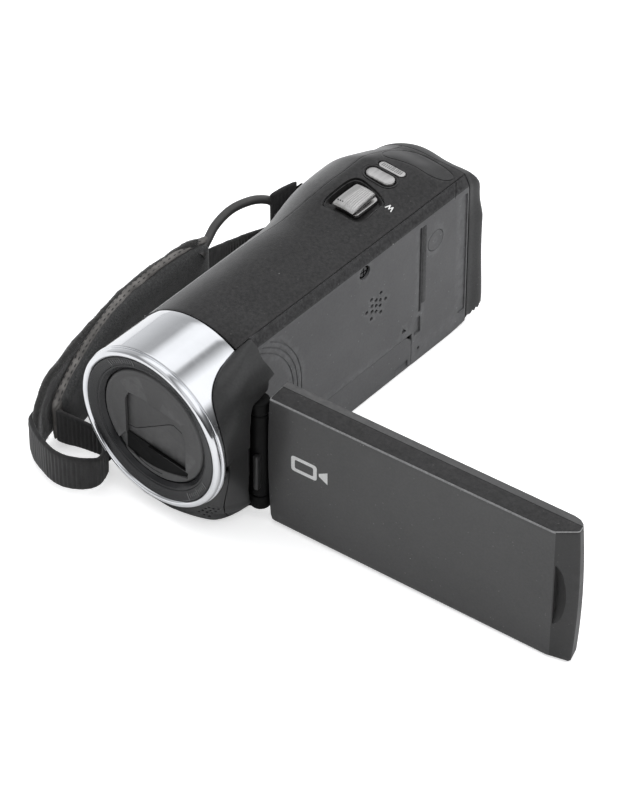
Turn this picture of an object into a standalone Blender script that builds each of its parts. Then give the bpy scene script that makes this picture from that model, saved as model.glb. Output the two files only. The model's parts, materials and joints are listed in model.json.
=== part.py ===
"""Compact camcorder with a fold-out screen and a hand strap, as an assembly of separate pieces.

Design coordinates are millimetres: X towards the screen side, Y back from the front of the lens,
Z up from the flat base.  The model's origin is the middle of the base, ORIGIN_Y behind the lens front.
"""
import math

import bmesh
import bpy
from mathutils import Matrix, Vector

MM = 0.001

# Driving dimensions of the housing
LENGTH = 128.0          # lens front to rear face
ORIGIN_Y = 64.0         # lens front to the model's origin
AXIS_Z = 31.1           # height of the lens axis
BARREL_R = 26.0         # outer radius of the lens sleeve
SIDE_X = 16.4           # flat wall that the closed screen lies against
WALL = 1.5              # thickness of the moulded covers
GAP = 0.3               # joint between neighbouring covers
SLEEVE_END = 22.2       # rear edge of the chrome sleeve
REAR_SEAM = 121.3       # joint between the covers and the rear cap
SEAM_TOP = (14.5, 56.0)     # top cover to side wall joint, in X and Z
STRIP_FOOT = (16.4, 52.5)   # foot of the sloping strip above the flat wall
FLARE = 1.2             # how far the wall flares where it meets the rear cap
HUMP = 1.9              # rise of the top towards the rear
GRIP_BULGE = 2.4        # swelling of the grip side
JACK_TOP = 12.4         # top edge of the jack cover
JACK_FRONT, JACK_REAR = 34.0, 95.6

# Screen hinge and panel
SWING_X, SWING_Y = 24.3, 19.4   # vertical hinge axis
REST_TURN = 5.8                 # how far the open panel leans back from square, in degrees
PANEL_NEAR, PANEL_FAR = 4.3, 101.4   # ends of the panel, measured from the hinge axis
PANEL_OUT, PANEL_IN = -1.3, 7.5      # outer and inner faces, across the hinge axis
PANEL_LOW, PANEL_HIGH = 1.2, 47.4
TILT_Z = (PANEL_LOW + PANEL_HIGH) / 2
TILT_V = (PANEL_OUT + PANEL_IN) / 2

# Lens
RING_OUT, RING_IN = 23.3, 19.6
WINDOW = (-11.0, 11.0, 22.0, 38.5)   # barrier window in X and Z
PLATE_Y = 2.6

PARTS = "camcorder"
CUTTERS = "cutters"


# ---------------------------------------------------------------- materials and objects

COLOURS = {
    "cover_black": ((0.030, 0.030, 0.031), 0.55, 0.0),
    "wall_grey": ((0.085, 0.085, 0.086), 0.60, 0.0),
    "panel_black": ((0.045, 0.045, 0.046), 0.45, 0.0),
    "gloss_black": ((0.010, 0.010, 0.011), 0.12, 0.0),
    "chrome": ((0.80, 0.80, 0.82), 0.08, 1.0),
    "silver": ((0.60, 0.60, 0.61), 0.30, 1.0),
    "steel": ((0.45, 0.45, 0.46), 0.35, 1.0),
    "screen_glass": ((0.012, 0.013, 0.016), 0.05, 0.0),
    "lens_glass": ((0.05, 0.04, 0.08), 0.03, 0.0),
    "board_green": ((0.02, 0.12, 0.05), 0.50, 0.0),
    "battery_grey": ((0.06, 0.06, 0.065), 0.50, 0.0),
    "lamp_amber": ((0.70, 0.25, 0.04), 0.25, 0.0),
    "webbing_black": ((0.012, 0.012, 0.012), 0.90, 0.0),
    "pad_black": ((0.014, 0.013, 0.013), 0.85, 0.0),
    "cable_rubber": ((0.035, 0.035, 0.035), 0.55, 0.0),
}


def material(slot):
    if slot in bpy.data.materials:
        return bpy.data.materials[slot]
    colour, roughness, metallic = COLOURS[slot]
    made = bpy.data.materials.new(slot)
    made.use_nodes = True
    shader = made.node_tree.nodes["Principled BSDF"]
    shader.inputs["Base Color"].default_value = (*colour, 1.0)
    shader.inputs["Roughness"].default_value = roughness
    shader.inputs["Metallic"].default_value = metallic
    return made


def collection(name):
    if name not in bpy.data.collections:
        bpy.context.scene.collection.children.link(bpy.data.collections.new(name))
    return bpy.data.collections[name]


def world(x, y, z):
    """Design millimetres to model metres."""
    return Vector((x, y - ORIGIN_Y, z)) * MM


def finish(name, bm, slot, origin=None, parent=None, smooth=35.0):
    """Turns a bmesh in design millimetres into an object whose origin is the given design point."""
    offset = world(*origin) if origin else Vector()
    for vert in bm.verts:
        vert.co = world(*vert.co) - offset
    return place(name, bm, slot, offset, parent, smooth)


def place(name, bm, slot, offset, parent=None, smooth=35.0):
    mesh = bpy.data.meshes.new(name)
    bm.to_mesh(mesh)
    bm.free()
    mesh.shade_smooth()
    mesh.set_sharp_from_angle(angle=math.radians(smooth))
    made = bpy.data.objects.new(name, mesh)
    made.location = offset
    made.parent = parent
    mesh.materials.append(material(slot))
    collection(PARTS).objects.link(made)
    return made


def as_cutter(made):
    collection(PARTS).objects.unlink(made)
    collection(CUTTERS).objects.link(made)
    made.hide_render = True
    made.display_type = "WIRE"
    return made


def cut(target, cutter, operation="DIFFERENCE"):
    as_cutter(cutter)
    boolean = target.modifiers.new("Cut " + cutter.name, "BOOLEAN")
    boolean.operation = operation
    boolean.object = cutter


def solidify(made, thickness=WALL):
    skin = made.modifiers.new("Wall", "SOLIDIFY")
    skin.thickness = thickness * MM
    skin.offset = -1.0
    return made


def bevel(made, width, segments=2, angle=40.0):
    rounded = made.modifiers.new("Edges", "BEVEL")
    rounded.width = width * MM
    rounded.segments = segments
    rounded.limit_method = "ANGLE"
    rounded.angle_limit = math.radians(angle)
    return made


# ---------------------------------------------------------------- basic shapes

def block(name, slot, low, high, origin=None, edge=0.0, parent=None):
    """Box between two design corners."""
    bm = bmesh.new()
    bmesh.ops.create_cube(bm, size=1.0)
    for vert in bm.verts:
        vert.co = Vector([low[i] + (vert.co[i] + 0.5) * (high[i] - low[i]) for i in range(3)])
    made = finish(name, bm, slot, origin, parent)
    if edge:
        bevel(made, edge)
    return made


AXIS_TURN = {"X": Matrix.Rotation(math.pi / 2, 3, "Y"),
             "Y": Matrix.Rotation(-math.pi / 2, 3, "X"),
             "Z": Matrix.Identity(3)}


def rod(name, slot, centre, radius, length, axis="Z", sides=32, origin=None, edge=0.0):
    """Cylinder about an axis through its design centre."""
    bm = bmesh.new()
    bmesh.ops.create_cone(bm, cap_ends=True, segments=sides, radius1=radius, radius2=radius, depth=length)
    bmesh.ops.transform(bm, matrix=AXIS_TURN[axis].to_4x4(), verts=bm.verts)
    bmesh.ops.translate(bm, vec=Vector(centre), verts=bm.verts)
    made = finish(name, bm, slot, origin)
    if edge:
        bevel(made, edge)
    return made


def turned(name, slot, profile, steps=48):
    """Solid of revolution about the lens axis; the closed profile holds (radius, y) corners."""
    bm = bmesh.new()
    rings = []
    for step in range(steps):
        turn = 2 * math.pi * step / steps
        rings.append([bm.verts.new((r * math.cos(turn), y, AXIS_Z + r * math.sin(turn))) for r, y in profile])
    for step in range(steps):
        near, far = rings[step], rings[(step + 1) % steps]
        for i in range(len(profile)):
            j = (i + 1) % len(profile)
            bm.faces.new((near[i], near[j], far[j], far[i]))
    bmesh.ops.recalc_face_normals(bm, faces=bm.faces)
    return finish(name, bm, slot)


def lens_element(name, radius, y_front, y_rear, sag):
    """Round glass with two domed faces, on the lens axis."""
    bm = bmesh.new()
    bmesh.ops.create_uvsphere(bm, u_segments=24, v_segments=12, radius=1.0)
    half = (y_rear - y_front) / 2
    middle = (y_rear + y_front) / 2
    for vert in bm.verts:
        x, y, z = vert.co
        vert.co = Vector((x * radius, middle + z * (half + sag * (1 - x * x - y * y)), AXIS_Z - y * radius))
    return finish(name, bm, "lens_glass")


def outline_solid(name, slot, outline, low, high, axis="Z", origin=None, parent=None):
    """Straight-sided solid: a closed 2D outline swept from low to high along X, Y or Z."""
    bm = bmesh.new()

    def corner(point, level):
        a, b = point
        return {"X": (level, a, b), "Y": (a, level, b), "Z": (a, b, level)}[axis]

    face = bm.faces.new([bm.verts.new(corner(point, low)) for point in outline])
    swept = bmesh.ops.extrude_face_region(bm, geom=[face])
    shift = Vector(corner((0, 0), high - low))
    bmesh.ops.translate(bm, vec=shift, verts=[g for g in swept["geom"] if isinstance(g, bmesh.types.BMVert)])
    bmesh.ops.recalc_face_normals(bm, faces=bm.faces)
    return finish(name, bm, slot, origin, parent)


def rounded_outline(x0, x1, y0, y1, radius, steps=6):
    """Rectangle with round corners, anticlockwise."""
    points = []
    for cx, cy, start in ((x1 - radius, y1 - radius, 0), (x0 + radius, y1 - radius, 90),
                          (x0 + radius, y0 + radius, 180), (x1 - radius, y0 + radius, 270)):
        for step in range(steps + 1):
            turn = math.radians(start + 90 * step / steps)
            points.append((cx + radius * math.cos(turn), cy + radius * math.sin(turn)))
    return points


def surface(name, slot, rows, closed=False, thickness=WALL, cap=False):
    """Thin moulding: a grid of outer points, thickened inwards.  Rows run from front to rear."""
    bm = bmesh.new()
    grid = [[bm.verts.new(point) for point in row] for row in rows]
    across = len(rows[0])
    for near, far in zip(grid, grid[1:]):
        for i in range(across if closed else across - 1):
            j = (i + 1) % across
            bm.faces.new((near[i], far[i], far[j], near[j]))
    if cap:
        bm.faces.new(list(reversed(grid[-1])))
    return solidify(finish(name, bm, slot), thickness)


def smooth_step(value, start, end):
    t = min(1.0, max(0.0, (value - start) / (end - start)))
    return t * t * (3 - 2 * t)


def spread(start, end, count):
    return [start + (end - start) * i / (count - 1) for i in range(count)]


def crowded(start, end, count):
    """Values from start to end, closest together at the start."""
    return [start + (end - start) * (i / (count - 1)) ** 2 for i in range(count)]


# ---------------------------------------------------------------- shape of the housing

SEAM_TURN = math.degrees(math.atan2(SEAM_TOP[1] - AXIS_Z, SEAM_TOP[0]))
STRIP_TURN = math.degrees(math.atan2(STRIP_FOOT[1] - AXIS_Z, STRIP_FOOT[0]))
GRIP_TURN = -104.0      # joint between the base and the grip cover
LIP_TURN = -63.5        # joint between the front lip and the front side cover
LIP_END = -160.0        # other end of the front lip, under the strap


def superellipse(turn, across, up, power):
    c = abs(math.cos(turn)) / across
    s = abs(math.sin(turn)) / up
    return (c ** power + s ** power) ** (-1 / power)


def base_height(y):
    """The underside is flat and then rises towards the rear cap."""
    return 4.0 * smooth_step(y, 109.0, 123.0) + 4.0 * smooth_step(y, REAR_SEAM, LENGTH)


def wall_x(y):
    """The flat wall flares slightly where it meets the rear cap."""
    return SIDE_X + FLARE * smooth_step(y, 115.0, 123.0)


def body_radius(degrees, y):
    """Distance from the lens axis to the outside of the housing, looking along the lens axis."""
    turn = math.radians(degrees)
    c, s = math.cos(turn), math.sin(turn)
    if c >= 0:
        across, power = BARREL_R, (2.0 + 1.4 * smooth_step(y, 20.0, 33.0) if s >= 0 else 5.0)
    else:
        bulge = GRIP_BULGE * smooth_step(y, 74.0, 100.0) * (1 - smooth_step(y, 112.0, 130.0))
        across, power = BARREL_R + bulge, (2.0 if s >= 0 else 2.7)
    hump = HUMP * smooth_step(y, 68.0, 106.0) * smooth_step(degrees, 62.0, 84.0)
    up = BARREL_R + hump if s >= 0 else AXIS_Z + 0.9
    radius = superellipse(turn, across, up, power)
    if c > 0:
        radius = min(radius, wall_x(y) / c)
        slope = (STRIP_FOOT[0] - SEAM_TOP[0], SEAM_TOP[1] - STRIP_FOOT[1])
        length = math.hypot(*slope)
        normal = (slope[1] / length, slope[0] / length)
        strip_distance = normal[0] * SEAM_TOP[0] + normal[1] * (SEAM_TOP[1] - AXIS_Z)
        facing = normal[0] * c + normal[1] * s
        if facing > 0 and y > 30:
            radius = min(radius, (strip_distance + wall_x(y) - SIDE_X) / facing)
    if s < 0:
        radius = min(radius, (AXIS_Z - base_height(y)) / -s)
    return radius


def on_body(degrees, y, inset=0.0):
    radius = body_radius(degrees, y) - inset
    turn = math.radians(degrees)
    return (radius * math.cos(turn), y, AXIS_Z + radius * math.sin(turn))


def front_radius(degrees, y):
    """Outside of the front mouldings, rounded from the chrome ring to the full section behind it."""
    turn = math.radians(degrees)
    c, s = math.cos(turn), math.sin(turn)
    start = sleeve_edge(degrees) + GAP
    if c < 0:
        full = body_radius(degrees, 24.0)
    elif s < 0:
        full = superellipse(turn, 25.4, AXIS_Z + 0.9, 5.0)
    else:
        full = superellipse(turn, 26.2, BARREL_R, 2.0 + 1.4 * smooth_step(y, start - 2.5, start + 10.5))
    if s < 0:
        full = min(full, AXIS_Z / -s)
    if s < -0.7:
        foot_x = min(22.6, AXIS_Z * c / -s)
        full_y = 26.0 - 21.5 * math.sqrt(max(0.0, 1 - ((foot_x + 2.0) / 25.0) ** 2))
    else:
        full_y = 10.0 + 14.0 * smooth_step(-s, 0.0, 0.75)
    full_y = max(full_y, start + 1.0)
    t = min(1.0, max(0.0, (y - start) / (full_y - start)))
    return BARREL_R - 0.1 + (full - BARREL_R + 0.1) * math.sqrt(1 - (1 - t) ** 2)


def on_front(degrees, y):
    radius = front_radius(degrees, y)
    turn = math.radians(degrees)
    return (radius * math.cos(turn), y, AXIS_Z + radius * math.sin(turn))


def sleeve_edge(degrees):
    """Rear edge of the chrome: deep over the top, sweeping to a narrow ring at the side and below."""
    if degrees < -100:
        degrees += 360
    right = max(0.0, SEAM_TURN - degrees)
    left = max(0.0, degrees - 196.0)
    away = min(right, 60.0) if degrees < 120 else left
    return 3.4 + (SLEEVE_END - 3.4) * math.exp(-(away / 7.6) ** 0.82)


def lip_edge(degrees):
    """Rear edge of the lip below the lens: a narrow band at the side, full depth underneath."""
    away = max(0.0, degrees - LIP_TURN)
    return 5.0 + (SLEEVE_END - 5.0) * math.exp(-(away / 7.0) ** 0.8)


def grip_seam(y):
    """Joint between the top cover and the grip cover: low at the front, rising to the top at the rear."""
    return 178.0 - 65.0 * smooth_step(y, 60.0, 105.0)


def gap_turn(degrees, y):
    """Half the joint between two covers, as an angle at the lens axis."""
    return math.degrees(GAP / 2 / body_radius(degrees, y))


# ---------------------------------------------------------------- housing covers

def top_cover():
    rows = []
    for y in [SLEEVE_END + GAP, 26, 30, 34, 42, 52, 62, 68, 74, 80, 86, 92, 98, 104, 110, 116, REAR_SEAM - GAP / 2]:
        start = SEAM_TURN + gap_turn(SEAM_TURN, y)
        end = grip_seam(y) - gap_turn(grip_seam(y), y)
        rows.append([on_body(turn, y) for turn in spread(start, end, 18)])
    made = surface("top_cover", "cover_black", rows)
    cut(made, rod("zoom_opening", "steel", (ZOOM_X, ZOOM_Y, 58), ZOOM_R, 12, sides=40))
    cut(made, oval("photo_opening", "steel", PHOTO, 12.0, 5.6, 52, 64))
    cut(made, oval("plate_opening", "steel", LABEL, 10.3, 3.5, 52, 64))
    return made


def grip_cover():
    rows = []
    for y in [SLEEVE_END + GAP, 28, 36, 46, 56, 62, 68, 74, 80, 86, 92, 98, 104, 110, 116, REAR_SEAM - GAP / 2]:
        start = grip_seam(y) + gap_turn(grip_seam(y), y)
        end = 360 + GRIP_TURN - gap_turn(GRIP_TURN, y)
        rows.append([on_body(turn, y) for turn in spread(start, end, 15)])
    rows[0] = [on_body(turn, sleeve_edge(turn) + GAP if turn < 360 + LIP_END else y)
               for turn, (_, y, _) in zip(spread(grip_seam(0) + 0.3, 360 + GRIP_TURN - 0.3, 15), rows[0])]
    return surface("grip_cover", "cover_black", rows)


def base_cover():
    rows = []
    for y in [SLEEVE_END + GAP, 40, 60, 80, 100, 109, 112, 115, 118, REAR_SEAM - GAP / 2]:
        start = 360 + GRIP_TURN + gap_turn(GRIP_TURN, y)
        end = 360 + math.degrees(math.atan2(base_height(y) - AXIS_Z, wall_x(y) - WALL - GAP))
        rows.append([on_body(turn, y) for turn in spread(start, end, 5)])
    made = surface("base_cover", "cover_black", rows)
    cut(made, rod("tripod_opening", "steel", (TRIPOD[0], TRIPOD[1], 0), TRIPOD_R + 0.3, 8))
    for number, (x, y) in enumerate(BASE_SCREWS, 1):
        cut(made, rod("base_screw_opening_%d" % number, "steel", (x, y, 0), 2.3, 8, sides=16))
    return made


def left_side_cover():
    """Flat wall behind the screen with the sloping strip along its top."""
    rows = []
    for y in [28.5, 60, 90, 109, 113, 115, 117, 119, REAR_SEAM - 0.3]:
        low = math.degrees(math.atan2(base_height(y) - AXIS_Z, wall_x(y))) + 0.05
        turns = [low, -30.0, 0.0, 30.0, 41.0, STRIP_TURN, SEAM_TURN - gap_turn(SEAM_TURN, y)]
        rows.append([on_body(turn, y) for turn in turns])
    rows.insert(0, [(x, 16.6 if z < STRIP_FOOT[1] - 2 else y, z) for x, y, z in rows[0]])
    rows[1] = [(x, 28.5 if z < STRIP_FOOT[1] - 2 else 30.0, z) for x, _, z in rows[1]]
    made = surface("left_side_cover", "wall_grey", rows)
    cut(made, block("seam_clearance", "steel", (8, 20, 53.9), (14.7, 130, 60)))
    cut(made, block("lip_clearance", "steel", (8, 10, -2), (20, SLEEVE_END + GAP, 1.8)))
    cut(made, block("jack_opening", "steel", (10, JACK_FRONT - 0.2, -3), (20, JACK_REAR + 0.2, JACK_TOP + 0.2)))
    cut(made, block("finger_opening", "steel", (15.6, 96.6, 10.6), (20, 99.8, 17.4)))
    cut(made, block("groove_opening", "steel", (15.7, 98.6, 18.8), (20, 99.7, 50.7)))
    cut(made, rod("side_screw_opening", "steel", (16.4, *SIDE_SCREW), 2.3, 6, "X", 20))
    cut(made, rod("power_opening", "steel", (16.4, *POWER), POWER_R + 0.2, 6, "X", 28))
    cut(made, rod("view_opening", "steel", (16.4, *VIEW), VIEW_R + 0.2, 6, "X", 24))
    cut(made, rod("reset_opening", "steel", (16.4, 98.9, 4.9), 0.6, 6, "X", 10))
    for number, (y, z) in enumerate(speaker_holes(), 1):
        cut(made, rod("speaker_hole_%d" % number, "steel", (16.4, y, z), 0.55, 6, "X", 8))
    return made


def speaker_holes():
    """Diamond of small sound holes in front of the speaker."""
    across, up = 2.3, 3.0
    pattern = [(0, 2), (-1, 1), (0, 1), (1, 1), (-1.5, 0), (-0.5, 0), (0.5, 0), (1.5, 0),
               (-1, -1), (0, -1), (1, -1), (0, -2)]
    return [(SPEAKER[0] + a * across, SPEAKER[1] + b * up) for a, b in pattern]


def front_side_cover():
    """Moulding between the chrome and the screen hinge, with its shoulder over the hinge well."""
    columns = []
    for turn in [LIP_TURN + 0.5, -60, -56, -52, -49, -46, -38, -28, -18, -8, -6, 2, 12, 20, 28, 33, 36.4,
                 38.4, 43, 47, 51, 54, 56, 57.5, 58.7, SEAM_TURN - 0.4]:
        front = max(sleeve_edge(turn), lip_edge(turn) if turn < -3 else 0.0) + (GAP if turn > -30 else 3 * GAP)
        if turn < -50:
            back = SLEEVE_END
        elif turn < 34:
            back = 16.2
        elif turn < 37:
            back = 22.0
        else:
            back = 28.2
        columns.append([on_front(turn, y) for y in crowded(front, back, 8)])
    rows = [[column[i] for column in columns] for i in range(8)]
    return surface("front_side_cover", "cover_black", rows, thickness=1.2)


def front_lower_cover():
    """Lip under the lens that holds the microphone grille."""
    columns = []
    for turn in [LIP_END, -154, -148, -141, -134, -127, -120, -113, -106, -99, -92, -85, -78, -72, -67, -63,
                 -60, -56, -50, -42, -34, -24, -14, -8]:
        columns.append([on_front(turn, y) for y in crowded(sleeve_edge(turn) + GAP, lip_edge(turn), 8)])
    rows = [[column[i] for column in columns] for i in range(8)]
    made = surface("front_lower_cover", "cover_black", rows, thickness=1.2)
    for number, (x, z) in enumerate(microphone_holes(), 1):
        cut(made, rod("microphone_hole_%d" % number, "steel", (x, 5, z), 0.5, 9, "Y", 8))
    return made


def microphone_holes():
    """Three short slanted rows in the lip."""
    holes = []
    for row, count, start in ((0, 3, 14.6), (1, 5, 12.9), (2, 4, 14.1)):
        for i in range(count):
            holes.append((start + 1.75 * i, 6.9 - 1.9 * row + 0.9 * i))
    return holes


def rear_cap():
    rows = []
    turns = [360.0 * i / 48 for i in range(48)]
    for bend in (0, 6, 20, 35, 50, 65, 78, 90):
        back = math.radians(bend)
        y = REAR_SEAM + GAP / 2 + (LENGTH - REAR_SEAM - GAP / 2) * math.sin(back)
        inset = 6.0 * (1 - math.cos(back))
        rows.append([on_body(turn, y, inset) for turn in turns])
    made = surface("rear_cap", "panel_black", rows, closed=True, cap=True)
    x0, x1, z0, z1 = DOOR
    opening = rounded_outline(x0 - GAP, x1 + GAP, z0 - GAP, z1 + GAP, 3.0)
    cut(made, outline_solid("door_opening", "steel", opening, 124, 131, "Y"))
    cut(made, rod("start_stop_opening", "steel", (*START[:1], 127, START[1]), START_R + 0.25, 8, "Y"))
    cut(made, rod("lamp_opening", "steel", (LAMP[0], 127, LAMP[1]), 1.2, 8, "Y", 16))
    return made


# ---------------------------------------------------------------- lens group

def chrome_sleeve():
    """Polished sleeve with a rounded front lip; its rear edge follows sleeve_edge."""
    turns = [60 - 120.0 * i / 12 for i in range(12)] + [300 - 104.0 * i / 10 for i in range(10)]
    turns += [219, 212, 206, 200, 196, 180, 165, 150, 135, 120, 108, 96, 84, 74, 66, 62, 59, 56, 52, 47, 41, 34, 25,
              14, 2]
    turns = sorted({turn % 360 for turn in turns})
    rows = [[] for _ in range(9)]
    for turn in turns:
        edge = sleeve_edge(turn if turn < 270 else turn - 360)
        profile = [(0.5, 23.7), (0.1, 24.4), (0.3, 25.2), (1.0, 25.7), (2.2, BARREL_R)]
        profile += [(y, BARREL_R) for y in spread(2.5, edge, 5)[1:]]
        angle = math.radians(turn)
        for row, (y, r) in zip(rows, profile):
            row.append((r * math.cos(angle), y, AXIS_Z + r * math.sin(angle)))
    return surface("chrome_sleeve", "chrome", rows, closed=True, thickness=0.7)


def lens_ring():
    profile = [(RING_OUT, 0.7), (RING_IN + 0.5, 1.3), (RING_IN, 1.8), (RING_IN, PLATE_Y + 1.0), (RING_OUT, PLATE_Y + 1.0)]
    return turned("lens_ring", "gloss_black", profile)


def barrier_plate():
    made = rod("barrier_plate", "panel_black", (0, PLATE_Y + 0.5, AXIS_Z), RING_IN - GAP, 1.0, "Y", 48)
    x0, x1, z0, z1 = WINDOW
    opening = rounded_outline(x0, x1, z0, z1, 1.5, 3)
    cut(made, outline_solid("window_opening", "steel", opening, 0, 8, "Y"))
    return made


def barrier_blades():
    """Two thin leaves that close the window and slide apart, one up and one down."""
    y0, y1 = PLATE_Y + 1.3, PLATE_Y + 1.9
    seam = [(-12.4, 25.0), (-8.0, 25.0), (5.0, 33.0), (12.4, 33.0)]
    upper = [(x, z + 0.15) for x, z in seam] + [(12.4, 40.0), (-12.4, 40.0)]
    lower = [(x, z - 0.15) for x, z in reversed(seam)] + [(-12.4, 20.6), (12.4, 20.6)]
    outline_solid("barrier_blade_upper", "panel_black", upper, y0, y1, "Y", origin=(0, y0, AXIS_Z))
    outline_solid("barrier_blade_lower", "panel_black", lower, y0, y1, "Y", origin=(0, y0, AXIS_Z))


def lens_barrel():
    profile = [(12.2, 5.0), (22.8, 5.0), (22.8, 7.0), (14.2, 7.0), (14.2, 50.0), (12.2, 50.0)]
    turned("lens_barrel", "panel_black", profile, 40)
    lens_element("front_lens", 11.9, 7.5, 12.5, 0.8)
    lens_element("rear_lens", 11.9, 36.0, 40.0, 0.8)
    block("image_sensor", "gloss_black", (-6, 50.6, 25.1), (6, 52.0, 37.1))
    block("sensor_board", "board_green", (-12, 52.3, 19), (8, 53.9, 43), edge=0.0)


# ---------------------------------------------------------------- controls

ZOOM_X, ZOOM_Y, ZOOM_R = -0.6, 89.0, 8.8
ZOOM_PIVOT_Y = 84.5
PHOTO = (-1.5, 102.6)
LABEL = (-1.4, 107.9)
START, START_R = (3.2, 40.0), 5.5
LAMP = (3.2, 27.0)
POWER, POWER_R = (105.9, 41.8), 3.4
VIEW, VIEW_R = (40.0, 19.5), 2.2
SIDE_SCREW = (73.7, 51.3 - 2.4)
SPEAKER = (80.0, 34.0)
DOOR = (-18.6, -5.6, 13.0, 46.0)
TRIPOD, TRIPOD_R = (0.0, 40.0), 4.4
BASE_SCREWS = [(10.0, 29.0), (-3.0, 103.0)]


def oval(name, slot, centre, width, depth, low, high, origin=None):
    x, y = centre
    outline = rounded_outline(x - width / 2, x + width / 2, y - depth / 2, y + depth / 2, depth / 2 - 0.01, 6)
    return outline_solid(name, slot, outline, low, high, "Z", origin)


def zoom_lever():
    """Rocking lever in a round well; its front edge carries a small lip."""
    rod("zoom_well", "cover_black", (ZOOM_X, ZOOM_Y, 55.9), ZOOM_R - GAP, 0.8, sides=40)
    outline = [(83.4, 56.6), (83.4, 58.0), (86.4, 60.3), (94.8, 60.9), (95.2, 60.3), (95.2, 56.6)]
    made = outline_solid("zoom_lever", "silver", outline, ZOOM_X - 4.6, ZOOM_X + 4.6, "X",
                         origin=(ZOOM_X, ZOOM_PIVOT_Y, 57))
    bevel(made, 0.35)
    return made


def buttons():
    bevel(oval("photo_button", "silver", PHOTO, 11.2, 4.8, 57.6, 60.2, (*PHOTO, 60.2)), 0.5)
    bevel(oval("photo_label_plate", "silver", LABEL, 9.7, 2.9, 57.7, 59.5), 0.3)
    rod("start_stop_button", "silver", (START[0], 127.2, START[1]), START_R, 3.4, "Y", 40,
        origin=(START[0], 128.9, START[1]), edge=0.5)
    rod("charge_lamp", "lamp_amber", (LAMP[0], 127.0, LAMP[1]), 0.9, 2.6, "Y", 16)
    rod("power_button", "wall_grey", (15.6, *POWER), POWER_R, 2.0, "X", 32, origin=(16.6, *POWER), edge=0.2)
    rod("view_button", "wall_grey", (15.6, *VIEW), VIEW_R, 2.2, "X", 24, origin=(16.7, *VIEW), edge=0.2)


def jack_cover():
    low = 0.3
    outline = [(JACK_FRONT, low), (JACK_REAR, low), (JACK_REAR, 9.8), (JACK_REAR - 2.6, JACK_TOP), (JACK_FRONT, JACK_TOP)]
    return outline_solid("jack_cover", "wall_grey", outline, SIDE_X - WALL, SIDE_X, "X", origin=(SIDE_X - 0.5, 65, low + 0.5))


def side_screws():
    rod("side_screw", "steel", (15.0, *SIDE_SCREW), 2.0, 1.6, "X", 20)
    for number, (x, y) in enumerate(BASE_SCREWS, 1):
        rod("base_screw_%d" % number, "steel", (x, y, 1.6), 2.0, 2.2, "Z", 16)


# ---------------------------------------------------------------- inside the housing

def internals():
    block("chassis", "steel", (-10, 24, 3.4), (11.4, 112, 4.6), edge=0.3)
    rod("tripod_socket", "steel", (*TRIPOD, 1.6), TRIPOD_R, 3.0, sides=32)
    cut(bpy.data.objects["tripod_socket"], rod("tripod_bore", "steel", (*TRIPOD, 0.6), 3.1, 4.4, sides=24))
    board = [(36, 5.2), (94, 5.2), (94, 12), (112, 12), (112, 50), (57, 50), (57, 13.6), (36, 13.6)]
    outline_solid("main_board", "board_green", board, 8.6, 9.8, "X")
    block("card_holder", "steel", (10.1, 40, 5.2), (14.4, 54, 8.4))
    cut(bpy.data.objects["card_holder"], block("card_opening", "steel", (9, 41.2, 6.2), (18, 52.8, 7.4)))
    block("memory_card", "gloss_black", (10.4, 41.5, 6.5), (14.5, 52.5, 7.1))
    socket("hdmi_socket", 60.0, 67.0, 5.6, 9.0)
    socket("usb_socket", 76.0, 83.0, 5.6, 8.6)
    rod("speaker", "gloss_black", (12.9, *SPEAKER), 7.5, 2.8, "X", 32, edge=0.4)
    rod("microphone", "gloss_black", (13.0, 14.0, 5.4), 3.0, 2.6, "Z", 20)
    battery()


def socket(name, y0, y1, z0, z1):
    made = block(name, "steel", (10.1, y0, z0), (14.5, y1, z1))
    cut(made, block(name + "_mouth", "steel", (11.5, y0 + 0.5, z0 + 0.5), (18, y1 - 0.5, z1 - 0.5)))


def battery():
    low, high = (-17.0, 78.0, 15.0), (-7.8, 120.5, 44.6)
    margin = 0.4
    wall = 1.0
    holder_low = [value - margin - wall for value in low]
    holder_high = [high[0] + margin + wall, high[1] - 0.5, high[2] + margin + wall]
    made = block("battery_holder", "panel_black", holder_low, holder_high)
    inner_low = [value - margin for value in low]
    cut(made, block("battery_bay", "steel", inner_low, (high[0] + margin, 125, high[2] + margin)))
    block("battery", "battery_grey", low, high, edge=0.6)


def battery_cover():
    x0, x1, z0, z1 = DOOR
    outline = rounded_outline(x0, x1, z0, z1, 2.7)
    made = outline_solid("battery_cover", "panel_black", outline, LENGTH - 1.6, LENGTH - 0.05, "Y",
                         origin=((x0 + x1) / 2, LENGTH - 0.3, z0 + 0.4))
    return made


# ---------------------------------------------------------------- screen

def empty(name, location, parent=None, turn=0.0):
    made = bpy.data.objects.new(name, None)
    made.location = location
    made.rotation_euler = (0, 0, turn)
    made.parent = parent
    collection(PARTS).objects.link(made)
    return made


def panel_mesh(outline, low, high):
    """Panel piece in hinge coordinates: u along the panel, v through it, z up.  Returns a bmesh in metres."""
    bm = bmesh.new()
    face = bm.faces.new([bm.verts.new(Vector((u, v, low)) * MM) for u, v in outline])
    swept = bmesh.ops.extrude_face_region(bm, geom=[face])
    rise = Vector((0, 0, high - low)) * MM
    bmesh.ops.translate(bm, vec=rise, verts=[g for g in swept["geom"] if isinstance(g, bmesh.types.BMVert)])
    bmesh.ops.recalc_face_normals(bm, faces=bm.faces)
    return bm


def in_panel(name, slot, outline, low, high, parent):
    """The parent is the tilt pivot, so heights are taken from the tilt axis."""
    shifted = [(u, v - TILT_V) for u, v in outline]
    return place(name, panel_mesh(shifted, low - TILT_Z, high - TILT_Z), slot, Vector(), parent)


def panel_box(name, slot, u0, u1, v0, v1, low, high, parent):
    return in_panel(name, slot, [(u0, v0), (u1, v0), (u1, v1), (u0, v1)], low, high, parent)


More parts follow.
